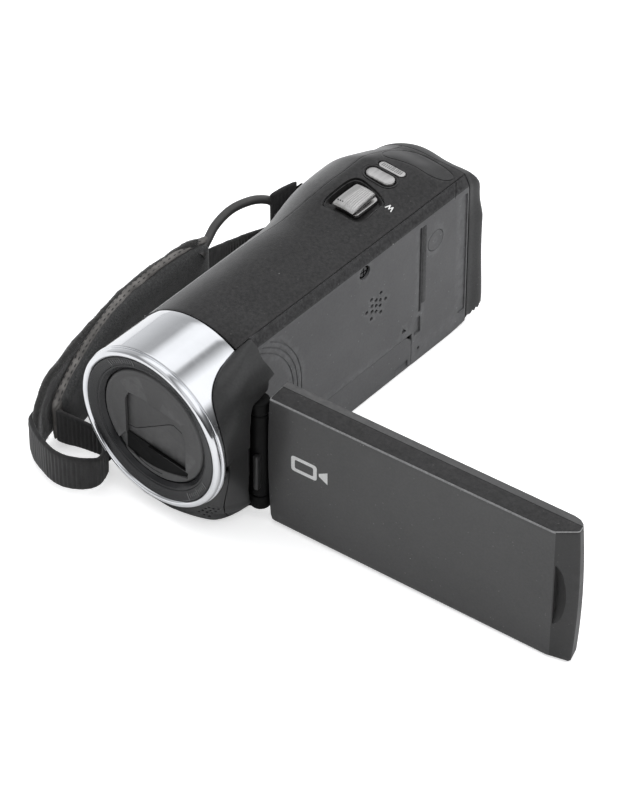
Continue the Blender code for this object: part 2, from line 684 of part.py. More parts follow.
def screen_hinge():
    """Fixed bracket, pin and swing block of the two-axis hinge."""
    foot = block("hinge_bracket", "steel", (16.8, 13.0, 7.0), (21.4, 14.6, 42.0))
    ear = [(16.8, 13.4), (21.2, 13.4), (21.2, 17.4), (26.6, 17.4), (26.6, 21.8), (16.8, 21.8)]
    for number, (z0, z1) in enumerate(((7.0, 9.0), (40.0, 42.0)), 1):
        cut(foot, outline_solid("bracket_ear_%d" % number, "steel", ear, z0, z1), "UNION")
        cut(foot, rod("bracket_hole_%d" % number, "steel", (SWING_X, SWING_Y, (z0 + z1) / 2), 1.0, 4, sides=20))
    rod("hinge_pin", "steel", (SWING_X, SWING_Y, 24.5), 0.9, 35.6, sides=20)


def swing_block(pivot):
    """Barrel on the pin with an arm towards the panel; the tilt shaft turns in the arm."""
    bm = bmesh.new()
    bmesh.ops.create_cone(bm, cap_ends=True, segments=28, radius1=2.5 * MM, radius2=2.5 * MM, depth=30.4 * MM)
    bmesh.ops.translate(bm, vec=Vector((0, 0, 24.5 * MM)), verts=bm.verts)
    made = place("swing_block", bm, "panel_black", Vector(), pivot)
    arm = panel_mesh([(0.2, 0.3), (4.0, 0.3), (4.0, 5.9), (0.2, 5.9), (-1.2, 2.2)], 18.0, 31.0)
    cut(made, place("swing_arm", arm, "panel_black", Vector(), pivot), "UNION")
    bore = bmesh.new()
    bmesh.ops.create_cone(bore, cap_ends=True, segments=20, radius1=1.0 * MM, radius2=1.0 * MM, depth=60 * MM)
    bmesh.ops.translate(bore, vec=Vector((0, 0, 24.5 * MM)), verts=bore.verts)
    cut(made, place("swing_bore", bore, "steel", Vector(), pivot))
    socket_hole = bmesh.new()
    bmesh.ops.create_cone(socket_hole, cap_ends=True, segments=20, radius1=1.8 * MM, radius2=1.8 * MM, depth=3.6 * MM)
    bmesh.ops.transform(socket_hole, matrix=Matrix.Rotation(math.pi / 2, 4, "Y"), verts=socket_hole.verts)
    bmesh.ops.translate(socket_hole, vec=Vector((3.8, TILT_V, TILT_Z)) * MM, verts=socket_hole.verts)
    cut(made, place("tilt_bore", socket_hole, "steel", Vector(), pivot))


def tilt_shaft(pivot):
    bm = bmesh.new()
    bmesh.ops.create_cone(bm, cap_ends=True, segments=20, radius1=1.5 * MM, radius2=1.5 * MM, depth=9.0 * MM)
    bmesh.ops.transform(bm, matrix=Matrix.Rotation(math.pi / 2, 4, "Y"), verts=bm.verts)
    bmesh.ops.translate(bm, vec=Vector((7.0, 0, 0)) * MM, verts=bm.verts)
    place("tilt_shaft", bm, "steel", Vector(), pivot)


SCREEN = (14.0, 77.5, 5.4, 43.2)        # visible glass: u from and to, z from and to
BEZEL_DEPTH = 2.6


def panel_plan(inset=0.0):
    """Outline of the panel seen from above: square at the hinge, bevelled and rounded at the free end."""
    near, far = PANEL_NEAR + inset, PANEL_FAR - inset
    outer, inner = PANEL_OUT + inset, PANEL_IN - inset
    points = [(near, outer), (far - 5.2, outer), (far - 1.2, outer + 3.0)]
    centre = (far - 3.6, inner - 3.6)
    for turn in (0, 25, 45, 65, 90):
        points.append((centre[0] + 3.6 * math.cos(math.radians(turn)), centre[1] + 3.6 * math.sin(math.radians(turn))))
    return points + [(near, inner)]


def screen_panel(pivot):
    plan = panel_plan()
    split = PANEL_IN - BEZEL_DEPTH
    cover = in_panel("lcd_cover", "panel_black", [(u, min(v, split - GAP / 2)) for u, v in plan], PANEL_LOW, PANEL_HIGH, pivot)
    bevel(cover, 0.5, 2)
    hollow = panel_box("lcd_hollow", "steel", PANEL_NEAR + 1.6, PANEL_FAR - 8, PANEL_OUT + 1.4, PANEL_IN + 2,
                       PANEL_LOW + 1.5, PANEL_HIGH - 1.5, pivot)
    cut(cover, hollow)
    inner_plan = [(u, v) for u, v in plan if v > split]
    bezel_plan = [(PANEL_NEAR, split + GAP / 2), (inner_plan[0][0], split + GAP / 2)] + inner_plan
    bezel = in_panel("lcd_bezel", "panel_black", bezel_plan, PANEL_LOW, PANEL_HIGH, pivot)
    u0, u1, z0, z1 = SCREEN
    cut(bezel, panel_box("screen_opening", "steel", u0 - 0.2, u1 + 0.2, 0, 12, z0 - 0.2, z1 + 0.2, pivot))
    screen = panel_box("lcd_screen", "screen_glass", u0, u1, split + 0.4, PANEL_IN - 0.35, z0, z1, pivot)
    panel_box("lcd_board", "board_green", 16, 92, 1.4, 2.6, 6, 42, pivot)
    panel_box("lcd_module", "battery_grey", 13, 79, 2.9, split - 0.2, 4.6, 44.0, pivot)
    bore = bmesh.new()
    bmesh.ops.create_cone(bore, cap_ends=True, segments=20, radius1=1.8 * MM, radius2=1.8 * MM, depth=12 * MM)
    bmesh.ops.transform(bore, matrix=Matrix.Rotation(math.pi / 2, 4, "Y"), verts=bore.verts)
    bmesh.ops.translate(bore, vec=Vector((7.0, 0, 0)) * MM, verts=bore.verts)
    shaft_hole = place("shaft_opening", bore, "steel", Vector(), pivot)
    cut(cover, shaft_hole)
    return screen


def joystick(pivot):
    """Small stick beside the screen that is pushed in to select."""
    stem = bmesh.new()
    bmesh.ops.create_cone(stem, cap_ends=True, segments=24, radius1=2.6 * MM, radius2=2.2 * MM, depth=2.2 * MM)
    bmesh.ops.transform(stem, matrix=Matrix.Rotation(-math.pi / 2, 4, "X"), verts=stem.verts)
    made = place("joystick", stem, "panel_black", Vector((86.0, PANEL_IN - TILT_V - 1.3, 4.0)) * MM, pivot)
    bezel = bpy.data.objects["lcd_bezel"]
    hole = bmesh.new()
    bmesh.ops.create_cone(hole, cap_ends=True, segments=24, radius1=3.1 * MM, radius2=3.1 * MM, depth=12 * MM)
    bmesh.ops.transform(hole, matrix=Matrix.Rotation(math.pi / 2, 4, "X"), verts=hole.verts)
    cut(bezel, place("joystick_opening", hole, "steel", Vector((86.0, PANEL_IN - TILT_V, 4.0)) * MM, pivot))
    return made


# ---------------------------------------------------------------- hand strap and cable

def ribbon(name, slot, path, thickness):
    """Upright band along a plan path of (x, y, z_low, z_high) stations, thickened to both sides."""
    bm = bmesh.new()
    feet = [bm.verts.new((x, y, low)) for x, y, low, _ in path]
    tops = [bm.verts.new((x, y, high)) for x, y, _, high in path]
    for i in range(len(path) - 1):
        bm.faces.new((feet[i], feet[i + 1], tops[i + 1], tops[i]))
    made = finish(name, bm, slot)
    skin = solidify(made, thickness)
    skin.modifiers["Wall"].offset = 0.0
    return made


def strap():
    block("strap_anchor_front", "steel", (-23.8, 5.2, 1.6), (-21.8, 7.4, 10.6), edge=0.4)
    block("strap_anchor_rear", "steel", (-31.2, 99.0, 9.0), (-28.75, 101.6, 41.0), edge=0.4)
    inner = [(-36.8, 66, 8, 38), (-39.4, 58, 7, 38), (-40.6, 46, 6, 37), (-41.0, 34, 5, 35), (-40.4, 22, 4, 31),
             (-38.4, 10, 3, 24), (-36.6, 4, 2, 19)]
    ribbon("strap_pad", "pad_black", inner, 5.0)
    outer = [(x - 4.6 - 0.8 * smooth_step(y, 66, 40), y + 0.6, low + 1, high + 1) for x, y, low, high in inner]
    outer.append((-40.9, -1.0, 2.0, 17.0))
    ribbon("strap_flap", "pad_black", outer, 2.0)
    front = [(-37.6, -3.6, 2, 15), (-33.0, -8.6, 1.6, 14.4), (-28.0, -9.9, 1.4, 14), (-23.8, -8.4, 1.4, 13),
             (-21.0, -4.6, 1.4, 12.4), (-20.9, 0.0, 1.4, 11.8), (-22.4, 4.2, 1.4, 11.2)]
    ribbon("strap_webbing_front", "webbing_black", front, 1.6)
    rear = [(-36.2, 69.5, 10, 29), (-37.2, 76, 10, 29), (-36.4, 84, 10, 28), (-34.0, 91, 10, 27.6), (-32.6, 96.6, 10, 27.6)]
    ribbon("strap_webbing_rear", "webbing_black", rear, 1.6)
    ribbon("cable_tab", "webbing_black", [(-33.6, 92.6, 28.6, 40), (-32.4, 96.6, 28.6, 40)], 2.0)
    cable()


def cable():
    curve = bpy.data.curves.new("usb_cable", "CURVE")
    curve.dimensions = "3D"
    curve.resolution_u = 4
    curve.bevel_depth = 1.7 * MM
    curve.bevel_resolution = 2
    curve.use_fill_caps = True
    spline = curve.splines.new("BEZIER")
    points = [(-36.6, 69.6, 35.4), (-39.0, 74.5, 40.0), (-39.0, 82.0, 42.6), (-36.0, 88.0, 41.0), (-33.9, 91.4, 36.6)]
    spline.bezier_points.add(len(points) - 1)
    for knot, point in zip(spline.bezier_points, points):
        knot.co = world(*point)
        knot.handle_left_type = knot.handle_right_type = "AUTO"
    made = bpy.data.objects.new("usb_cable", curve)
    curve.materials.append(material("cable_rubber"))
    collection(PARTS).objects.link(made)


def main():
    for old in list(bpy.data.objects):
        bpy.data.objects.remove(old, do_unlink=True)
    top_cover()
    grip_cover()
    base_cover()
    left_side_cover()
    front_side_cover()
    front_lower_cover()
    rear_cap()
    chrome_sleeve()
    lens_ring()
    barrier_plate()
    barrier_blades()
    lens_barrel()
    zoom_lever()
    buttons()
    jack_cover()
    side_screws()
    internals()
    battery_cover()
    screen_hinge()
    swing = empty("swing_pivot", world(SWING_X, SWING_Y, 0), turn=math.radians(REST_TURN))
    swing_block(swing)
    tilt = empty("tilt_pivot", Vector((0, TILT_V, TILT_Z)) * MM, swing)
    tilt_shaft(tilt)
    screen_panel(tilt)
    joystick(tilt)
    strap()


main()
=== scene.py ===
"""The looks of the camcorder: fine skins, soft goods, materials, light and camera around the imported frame.

Design coordinates are millimetres: X towards the screen side, Y back from the front of the lens and Z up
from the base.  The screen has its own coordinates: u along the panel, v through it and z up.
"""
import json
import math
import random

import bmesh
import bpy
from mathutils import Matrix, Vector, noise

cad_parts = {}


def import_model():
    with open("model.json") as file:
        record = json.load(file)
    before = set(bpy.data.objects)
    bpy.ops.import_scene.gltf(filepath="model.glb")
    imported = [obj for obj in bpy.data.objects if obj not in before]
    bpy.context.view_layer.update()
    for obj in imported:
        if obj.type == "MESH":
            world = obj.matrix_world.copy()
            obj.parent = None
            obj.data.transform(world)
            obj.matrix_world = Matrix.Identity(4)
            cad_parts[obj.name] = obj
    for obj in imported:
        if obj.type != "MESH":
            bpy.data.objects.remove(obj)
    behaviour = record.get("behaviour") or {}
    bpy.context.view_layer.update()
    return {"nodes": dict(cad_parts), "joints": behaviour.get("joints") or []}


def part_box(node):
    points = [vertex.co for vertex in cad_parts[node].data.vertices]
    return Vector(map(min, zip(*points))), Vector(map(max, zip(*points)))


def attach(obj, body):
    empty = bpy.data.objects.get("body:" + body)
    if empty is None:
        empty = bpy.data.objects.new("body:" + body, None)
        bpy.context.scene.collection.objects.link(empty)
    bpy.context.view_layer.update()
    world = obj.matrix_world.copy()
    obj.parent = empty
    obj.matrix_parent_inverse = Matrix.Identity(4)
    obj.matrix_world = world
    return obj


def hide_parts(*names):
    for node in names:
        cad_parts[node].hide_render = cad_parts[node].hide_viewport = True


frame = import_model()
MM = 0.001


def frame_mm(node):
    """A node's lowest and highest corners in model millimetres."""
    low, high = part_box(node)
    return low / MM, high / MM


def joint_mm(name):
    """A hinge's pivot in model millimetres."""
    found = next(joint for joint in frame["joints"] if joint["name"] == name)
    return Vector(found["pos_m"]) / MM


# Driving sizes, from the frame
SLEEVE_LOW, SLEEVE_HIGH = frame_mm("chrome_sleeve")
RING_LOW, RING_HIGH = frame_mm("lens_ring")
JACK_LOW, JACK_HIGH = frame_mm("jack_cover")
ORIGIN_Y = round(0.1 - SLEEVE_LOW.y, 2)                  # lens front to the model's origin
AXIS_Z = round((RING_LOW.z + RING_HIGH.z) / 2, 2)        # height of the lens axis
BARREL_R = round((SLEEVE_HIGH.x - SLEEVE_LOW.x) / 2, 2)  # radius of the chrome sleeve
SIDE_X = round(JACK_HIGH.x, 2)                           # flat wall behind the screen
SWING = joint_mm("lcd_swing")
SWING_X, SWING_Y = SWING.x, SWING.y + ORIGIN_Y
TILT_Z = round(joint_mm("lcd_tilt").z, 2)
REST_TURN = -next(j for j in frame["joints"] if j["name"] == "lcd_swing")["range_deg"][0]

# Shape of the housing
LENGTH = 128.0
GAP = 0.3                        # between neighbouring covers
SKIN = 0.8                       # wall of the fine skins
SLEEVE_END = 22.2                # rearmost reach of the chrome
REAR_SEAM = 121.3                # joint between the covers and the rear cap
SEAM_TOP = (14.5, 56.0)          # x and z of the strip's upper edge
STRIP_FOOT = (SIDE_X, 52.5)      # and of its lower edge
FLARE = 2.6                      # outward step of the wall at the rear
HUMP = 1.9                       # rise of the top behind its middle
TAIL_DROP = 3.3                  # fall of the top towards the rear cap
GRIP_BULGE = 2.4                 # bulge of the grip
GRIP_SWELL = 2.0                 # and more of it high on the grip
CORNER_BLEND = 0.7               # rounding where the flat walls meet the round ones
FOOT_DROP = 0.9                  # how far the round section would reach under the base
SQUARE_SIDE = 1.4                # how much squarer than a circle the upper side becomes
JACK_TOP = 12.4
JACK_FRONT, JACK_REAR = 34.0, 95.6

# Screen panel, in its own coordinates
PANEL_NEAR, PANEL_FAR = 4.3, 101.4
PANEL_OUT, PANEL_IN = -1.3, 7.5
PANEL_LOW, PANEL_HIGH = 1.2, 47.4
TILT_V = (PANEL_OUT + PANEL_IN) / 2
JOYSTICK_U, JOYSTICK_Z = 86.0, TILT_Z + 4.0
COVER_EDGE, BEZEL_EDGE = PANEL_IN - 2.7, PANEL_IN - 2.55         # joint between the cover and the bezel
PANEL_MIDDLE = (PANEL_LOW + PANEL_HIGH) / 2
PANEL_TALL = PANEL_HIGH - PANEL_LOW
PANEL_CORNER = 2.4               # rounding of its lower corner at the hinge


def world(x, y, z):
    return Vector((x, y - ORIGIN_Y, z)) * MM


PANEL_TURN = Matrix.Rotation(math.radians(REST_TURN), 3, "Z")


def panel_world(u, v, z):
    turned = PANEL_TURN @ Vector((u, v, 0.0))
    return world(SWING_X + turned.x, SWING_Y + turned.y, z)


# ---------------------------------------------------------------- mesh helpers

def make(name, bm, mapping=world):
    """Object from a bmesh in design millimetres."""
    for vert in bm.verts:
        vert.co = mapping(*vert.co)
    mesh = bpy.data.meshes.new(name)
    bm.to_mesh(mesh)
    bm.free()
    made = bpy.data.objects.new(name, mesh)
    bpy.context.scene.collection.objects.link(made)
    return made


def bake(piece, sharp=38.0):
    """Applies the modifiers and shades the result."""
    graph = bpy.context.evaluated_depsgraph_get()
    mesh = bpy.data.meshes.new_from_object(piece.evaluated_get(graph))
    piece.modifiers.clear()
    piece.data = mesh
    mesh.shade_smooth()
    mesh.set_sharp_from_angle(angle=math.radians(sharp))
    return piece


def solidify(piece, thickness):
    skin = piece.modifiers.new("Wall", "SOLIDIFY")
    skin.thickness = thickness * MM
    skin.offset = -1.0
    return piece


def bevel(piece, width, segments=2, angle=50.0):
    rounded = piece.modifiers.new("Edges", "BEVEL")
    rounded.width = width * MM
    rounded.segments = segments
    rounded.limit_method = "ANGLE"
    rounded.angle_limit = math.radians(angle)
    rounded.use_clamp_overlap = True
    return piece


def subdivide(piece, levels=1):
    smooth = piece.modifiers.new("Smooth", "SUBSURF")
    smooth.levels = smooth.render_levels = levels
    return piece


def carve(piece, cutters, mapping=world):
    """Cuts a bmesh of closed shapes out of a piece."""
    tool = make(piece.name + "_cutter", cutters, mapping)
    boolean = piece.modifiers.new("Cut", "BOOLEAN")
    boolean.object = tool
    bake(piece)
    bpy.data.objects.remove(tool)
    return piece


def give(piece, looks):
    """Gives a piece its materials: names from LOOK, in the order of its faces' material numbers."""
    materials = piece.data.materials
    for index, look in enumerate(looks.split()):
        if index < len(materials):
            materials[index] = LOOK[look]
        else:
            materials.append(LOOK[look])


def dress(piece, body, slot, looks, *nodes):
    """Puts a finished piece on its body, with its materials, in place of CAD nodes."""
    give(piece, looks)
    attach(piece, body)
    if nodes:
        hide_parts(*nodes)


AXIS_TURN = {"X": Matrix.Rotation(math.pi / 2, 4, "Y"),
             "Y": Matrix.Rotation(-math.pi / 2, 4, "X"),
             "Z": Matrix.Identity(4)}


def add_rod(bm, centre, radius, length, axis="Z", sides=32):
    made = bmesh.ops.create_cone(
        bm, cap_ends=True, segments=sides, radius1=radius, radius2=radius, depth=length)
    matrix = Matrix.Translation(Vector(centre)) @ AXIS_TURN[axis]
    bmesh.ops.transform(bm, matrix=matrix, verts=made["verts"])


def add_box(bm, low, high):
    made = bmesh.ops.create_cube(bm, size=1.0)
    for vert in made["verts"]:
        vert.co = Vector([low[i] + (vert.co[i] + 0.5) * (high[i] - low[i]) for i in range(3)])


def add_skin(bm, rings, closed=True, capped=True):
    """Joins rings of vertices with faces, closes both ends and turns the faces outwards."""
    count = len(rings[0])
    faces = []
    for near, far in zip(rings, rings[1:]):
        for i in range(count if closed else count - 1):
            j = (i + 1) % count
            faces.append(bm.faces.new((near[i], near[j], far[j], far[i])))
    if capped:
        faces += [bm.faces.new(rings[0]), bm.faces.new(rings[-1])]
    bmesh.ops.recalc_face_normals(bm, faces=faces)


def add_points(bm, points):
    return [bm.verts.new(point) for point in points]


def add_prism(bm, outline, low, high, axis="Z"):
    """Closed outline swept from low to high along an axis."""
    def corner(point, level):
        a, b = point
        return {"X": (level, a, b), "Y": (a, level, b), "Z": (a, b, level)}[axis]

    add_skin(bm, [add_points(bm, [corner(point, level) for point in outline]) for level in (low, high)])


def add_trench(bm, path, up, width, depth, height=1.0, closed=False):
    """Box section along a path on a surface: the cutter of a fine groove."""
    count = len(path)
    outwards = Vector(up)
    rings = []
    for i, point in enumerate(path):
        before = path[(i - 1) % count] if closed or i > 0 else path[i]
        after = path[(i + 1) % count] if closed or i < count - 1 else path[i]
        along = (Vector(after) - Vector(before)).normalized()
        side = along.cross(outwards).normalized() * width / 2
        section = ((-1, -depth), (1, -depth), (1, height), (-1, height))
        rings.append(add_points(bm, [Vector(point) + side * a + outwards * b for a, b in section]))
    add_skin(bm, rings + rings[:1] if closed else rings, capped=not closed)


def arc(centre, radius, start, end, count):
    """Points on a circle between two angles in degrees."""
    turns = [math.radians(turn) for turn in spread(start, end, count)]
    return [(centre[0] + radius * math.cos(turn), centre[1] + radius * math.sin(turn)) for turn in turns]


def rounded_outline(x0, x1, y0, y1, radius, steps=8):
    left, right, low, high = x0 + radius, x1 - radius, y0 + radius, y1 - radius
    corners = (((right, high), 0), ((left, high), 90), ((left, low), 180), ((right, low), 270))
    return [point for centre, start in corners for point in arc(centre, radius, start, start + 90, steps + 1)]


def lathe(name, profile, centre, axis="Y", steps=96, mapping=world):
    """Turned piece: (radius, height) corners of a closed profile about an axis through a design point."""
    bm = bmesh.new()
    rings = []
    for step in range(steps):
        turn = 2 * math.pi * step / steps
        rings.append(add_points(bm, [(r * math.cos(turn), r * math.sin(turn), h) for r, h in profile]))
    add_skin(bm, rings + rings[:1], capped=False)
    place = Matrix.Translation(Vector(centre)) @ AXIS_TURN[axis]
    bmesh.ops.transform(bm, matrix=place, verts=bm.verts)
    return make(name, bm, mapping)


def sheet(name, rows, closed=False, cap=False):
    """Open surface from rows of points that run from front to rear, its faces turned outwards."""
    bm = bmesh.new()
    grid = [add_points(bm, row) for row in rows]
    across = len(rows[0])
    for near, far in zip(grid, grid[1:]):
        for i in range(across if closed else across - 1):
            j = (i + 1) % across
            bm.faces.new((near[i], far[i], far[j], near[j]))
    if cap:
        bm.faces.new(list(reversed(grid[-1])))
    return make(name, bm)


def clamp(value):
    return min(1.0, max(0.0, value))


def smooth_step(value, start, end):
    t = clamp((value - start) / (end - start))
    return t * t * (3 - 2 * t)


def spread(start, end, count):
    """Evenly spaced values from start to end."""
    return [start + (end - start) * i / (count - 1) for i in range(count)]


def crowded(start, end, count, power):
    """Like spread, but closer together near the start."""
    return [start + (end - start) * (i / (count - 1)) ** power for i in range(count)]


def soft_min(a, b, blend):
    """Minimum of two lengths with a rounded change-over."""
    h = max(blend - abs(a - b), 0.0) / blend
    return min(a, b) - h * h * blend / 4


# ---------------------------------------------------------------- shape of the housing

SEAM_TURN = math.degrees(math.atan2(SEAM_TOP[1] - AXIS_Z, SEAM_TOP[0]))
STRIP_TURN = math.degrees(math.atan2(STRIP_FOOT[1] - AXIS_Z, STRIP_FOOT[0]))
GRIP_TURN = -104.0               # edge between the grip and the base
LIP_TURN, LIP_END = -63.5, -160.0        # ends of the lip under the lens
LIP_DEPTH = 5.0                  # how far back the lip reaches under the side
RING_DEPTH = 3.4                 # and the chrome, where it is only a ring


def superellipse(turn, across, up, power):
    c = abs(math.cos(turn)) / across
    s = abs(math.sin(turn)) / up
    return (c ** power + s ** power) ** (-1 / power)


def base_height(y):
    """The base rises towards the rear, most of it under the rear cap."""
    return 0.6 * smooth_step(y, 112.0, 121.0) + 5.0 * smooth_step(y, 119.5, LENGTH + 1.0)


def wall_x(y):
    return SIDE_X + FLARE * smooth_step(y, 122.5, 126.5)


def body_radius(degrees, y):
    """Distance from the lens axis to the outside of the housing, with rounded corners."""
    turn = math.radians(degrees)
    c, s = math.cos(turn), math.sin(turn)
    if c >= 0:
        squarer = SQUARE_SIDE * smooth_step(y, 20.0, 33.0)
        across, power = BARREL_R, (2.0 + squarer if s >= 0 else 5.0)
    else:
        bulge = GRIP_BULGE * smooth_step(y, 74.0, 100.0) * (1 - smooth_step(y, 110.0, 122.0))
        across, power = BARREL_R + bulge, (2.0 if s >= 0 else 2.7)
    hump = HUMP * smooth_step(y, 68.0, 106.0) * smooth_step(degrees, 62.0, 84.0)
    tail = TAIL_DROP * smooth_step(y, 110.0, 122.0) * smooth_step(degrees, 58.0, 84.0)
    up = BARREL_R + hump - tail if s >= 0 else AXIS_Z + FOOT_DROP
    radius = superellipse(turn, across, up, power)
    if 90 < degrees < 200:
        swell = GRIP_SWELL * smooth_step(y, 70.0, 93.0) * (1 - smooth_step(y, 104.0, 113.0))
        radius += swell * smooth_step(degrees, 90.0, 110.0) * (1 - smooth_step(degrees, 150.0, 192.0))
    if c > 0:
        if y > 30:
            radius = min(radius, strip_radius(c, s, y))
        radius = soft_min(radius, wall_x(y) / c, CORNER_BLEND)
    if s < 0:
        radius = soft_min(radius, (AXIS_Z - base_height(y)) / -s, CORNER_BLEND)
    return radius


def strip_radius(c, s, y):
    """Distance from the lens axis to the sloping strip between the top and the side wall."""
    across, rise = STRIP_FOOT[0] - SEAM_TOP[0], SEAM_TOP[1] - STRIP_FOOT[1]
    length = math.hypot(across, rise)
    normal = (rise / length, across / length)
    distance = normal[0] * SEAM_TOP[0] + normal[1] * (SEAM_TOP[1] - AXIS_Z)
    facing = normal[0] * c + normal[1] * s
    return (distance + wall_x(y) - SIDE_X) / facing if facing > 0 else math.inf


def on_section(degrees, y, radius):
    """Point at a distance from the lens axis, in the direction of an angle."""
    turn = math.radians(degrees)
    return (radius * math.cos(turn), y, AXIS_Z + radius * math.sin(turn))


def on_body(degrees, y, inset=0.0):
    return on_section(degrees, y, body_radius(degrees, y) - inset)


def sleeve_edge(degrees):
    """Rear edge of the chrome: deep over the top, sweeping to a narrow ring at the side and below."""
    if degrees < -100:
        degrees += 360
    right = max(0.0, SEAM_TURN - degrees)
    left = max(0.0, degrees - 196.0)
    away = min(right, 60.0) if degrees < 120 else left
    return RING_DEPTH + (SLEEVE_END - RING_DEPTH) * math.exp(-(away / 7.6) ** 0.82)


def lip_edge(degrees):
    """Rear edge of the lip under the lens, which narrows towards the screen side."""
    away = max(0.0, degrees - LIP_TURN)
    return LIP_DEPTH + (SLEEVE_END - LIP_DEPTH) * math.exp(-(away / 7.0) ** 0.8)


def front_radius(degrees, y):
    """Outside of the front mouldings, rounded from the chrome ring to the full section behind it."""
    turn = math.radians(degrees)
    c, s = math.cos(turn), math.sin(turn)
    start = sleeve_edge(degrees) + GAP
    if c < 0:
        full = body_radius(degrees, 24.0)
    elif s < 0:
        full = superellipse(turn, 25.4, AXIS_Z + FOOT_DROP, 5.0)
    else:
        squarer = SQUARE_SIDE * smooth_step(y, start - 2.5, start + 10.5)
        full = superellipse(turn, 26.2, BARREL_R, 2.0 + squarer)
    if s < 0:
        full = min(full, AXIS_Z / -s)
    if s < -0.7:
        foot_x = min(22.6, AXIS_Z * c / -s)
        full_y = 26.0 - 21.5 * math.sqrt(max(0.0, 1 - ((foot_x + 2.0) / 25.0) ** 2))
    else:
        full_y = 10.0 + 14.0 * smooth_step(-s, 0.0, 0.75)
    full_y = max(full_y, start + 1.0)
    t = clamp((y - start) / (full_y - start))
    ring = BARREL_R - 0.1
    return ring + (full - ring) * math.sqrt(1 - (1 - t) ** 2)


def on_front(degrees, y):
    return on_section(degrees, y, front_radius(degrees, y))


def grip_seam(y):
    """Angle of the joint between the top and the grip."""
    return 132.0 - 20.7 * smooth_step(y, 50.0, 100.0)


def gap_turn(degrees, y):
    """Half of a gap as an angle about the lens axis."""
    return math.degrees(GAP / 2 / body_radius(degrees, y))


def top_height(x, y):
    """Height of the top cover over a plan point."""
    degrees = 90.0
    for _ in range(6):
        radius = body_radius(degrees, y)
        degrees = math.degrees(math.acos(max(-1.0, min(1.0, x / radius))))
    return AXIS_Z + radius * math.sin(math.radians(degrees))


# ---------------------------------------------------------------- materials

class Nodes:
    """Small helper that builds a Principled material from named inputs."""

    def __init__(self, name, colour, roughness, metallic=0.0):
        self.made = bpy.data.materials.new(name)
        self.made.use_nodes = True
        self.tree = self.made.node_tree
        self.shader = self.tree.nodes["Principled BSDF"]
        self.shader.inputs["Base Color"].default_value = (*colour, 1.0)
        self.shader.inputs["Roughness"].default_value = roughness
        self.shader.inputs["Metallic"].default_value = metallic
        self.place = self.tree.nodes.new("ShaderNodeTexCoord").outputs["Object"]

    def node(self, kind, **settings):
        made = self.tree.nodes.new("ShaderNode" + kind)
        for key, value in settings.items():
            setattr(made, key, value)
        return made

    def link(self, source, target):
        self.tree.links.new(source, target)

    def stretch(self, scale, turn=(0.0, 0.0, 0.0)):
        """Texture coordinates with their own scale along each axis."""
        mapping = self.node("Mapping")
        mapping.inputs["Scale"].default_value = scale
        mapping.inputs["Rotation"].default_value = turn
        self.link(self.place, mapping.inputs["Vector"])
        return mapping.outputs["Vector"]

    def noise(self, scale, detail=3.0, rough=0.6, vector=None):
        made = self.node("TexNoise")
        made.inputs["Scale"].default_value = scale
        made.inputs["Detail"].default_value = detail
        made.inputs["Roughness"].default_value = rough
        self.link(vector or self.place, made.inputs["Vector"])
        return made.outputs["Fac"]

    def voronoi(self, scale, feature="F1"):
        made = self.node("TexVoronoi", feature=feature)
        made.inputs["Scale"].default_value = scale
        self.link(self.place, made.inputs["Vector"])
        return made.outputs["Distance"]

    def ramp(self, value, low, high, start=0.0, end=1.0):
        """Value turned from the range low to high into the range start to end."""
        made = self.node("MapRange")
        made.inputs["From Min"].default_value = low
        made.inputs["From Max"].default_value = high
        made.inputs["To Min"].default_value = start
        made.inputs["To Max"].default_value = end
        self.link(value, made.inputs["Value"])
        return made.outputs["Result"]

    def maths(self, operation, a, b=None):
        made = self.node("Math", operation=operation)
        for socket, value in zip(made.inputs, (a, b)):
            if isinstance(value, (int, float)):
                socket.default_value = value
            elif value is not None:
                self.link(value, socket)
        return made.outputs[0]

    def mix(self, factor, first, second):
        """Colour between the first and the second; each input is a value or another node's output."""
        made = self.node("Mix", data_type="RGBA")
        for name, value in (("Factor", factor), ("A", first), ("B", second)):
            if isinstance(value, tuple):
                made.inputs[name].default_value = (*value, 1.0)
            else:
                self.link(value, made.inputs[name])
        return made.outputs["Result"]

    def bump(self, height, strength, distance):
        made = self.node("Bump")
        made.inputs["Strength"].default_value = strength
        made.inputs["Distance"].default_value = distance * MM
        self.link(height, made.inputs["Height"])
        self.link(made.outputs["Normal"], self.shader.inputs["Normal"])

    def colour(self, value):
        self.link(value, self.shader.inputs["Base Color"])

    def roughness(self, value):
        self.link(value, self.shader.inputs["Roughness"])

    def settle(self, **values):
        """Sets the shader's other inputs, named with underscores for spaces."""
        for name, value in values.items():
            self.shader.inputs[name.replace("_", " ")].default_value = value


def shade(colour, factor):
    return tuple(min(1.0, channel * factor) for channel in colour)


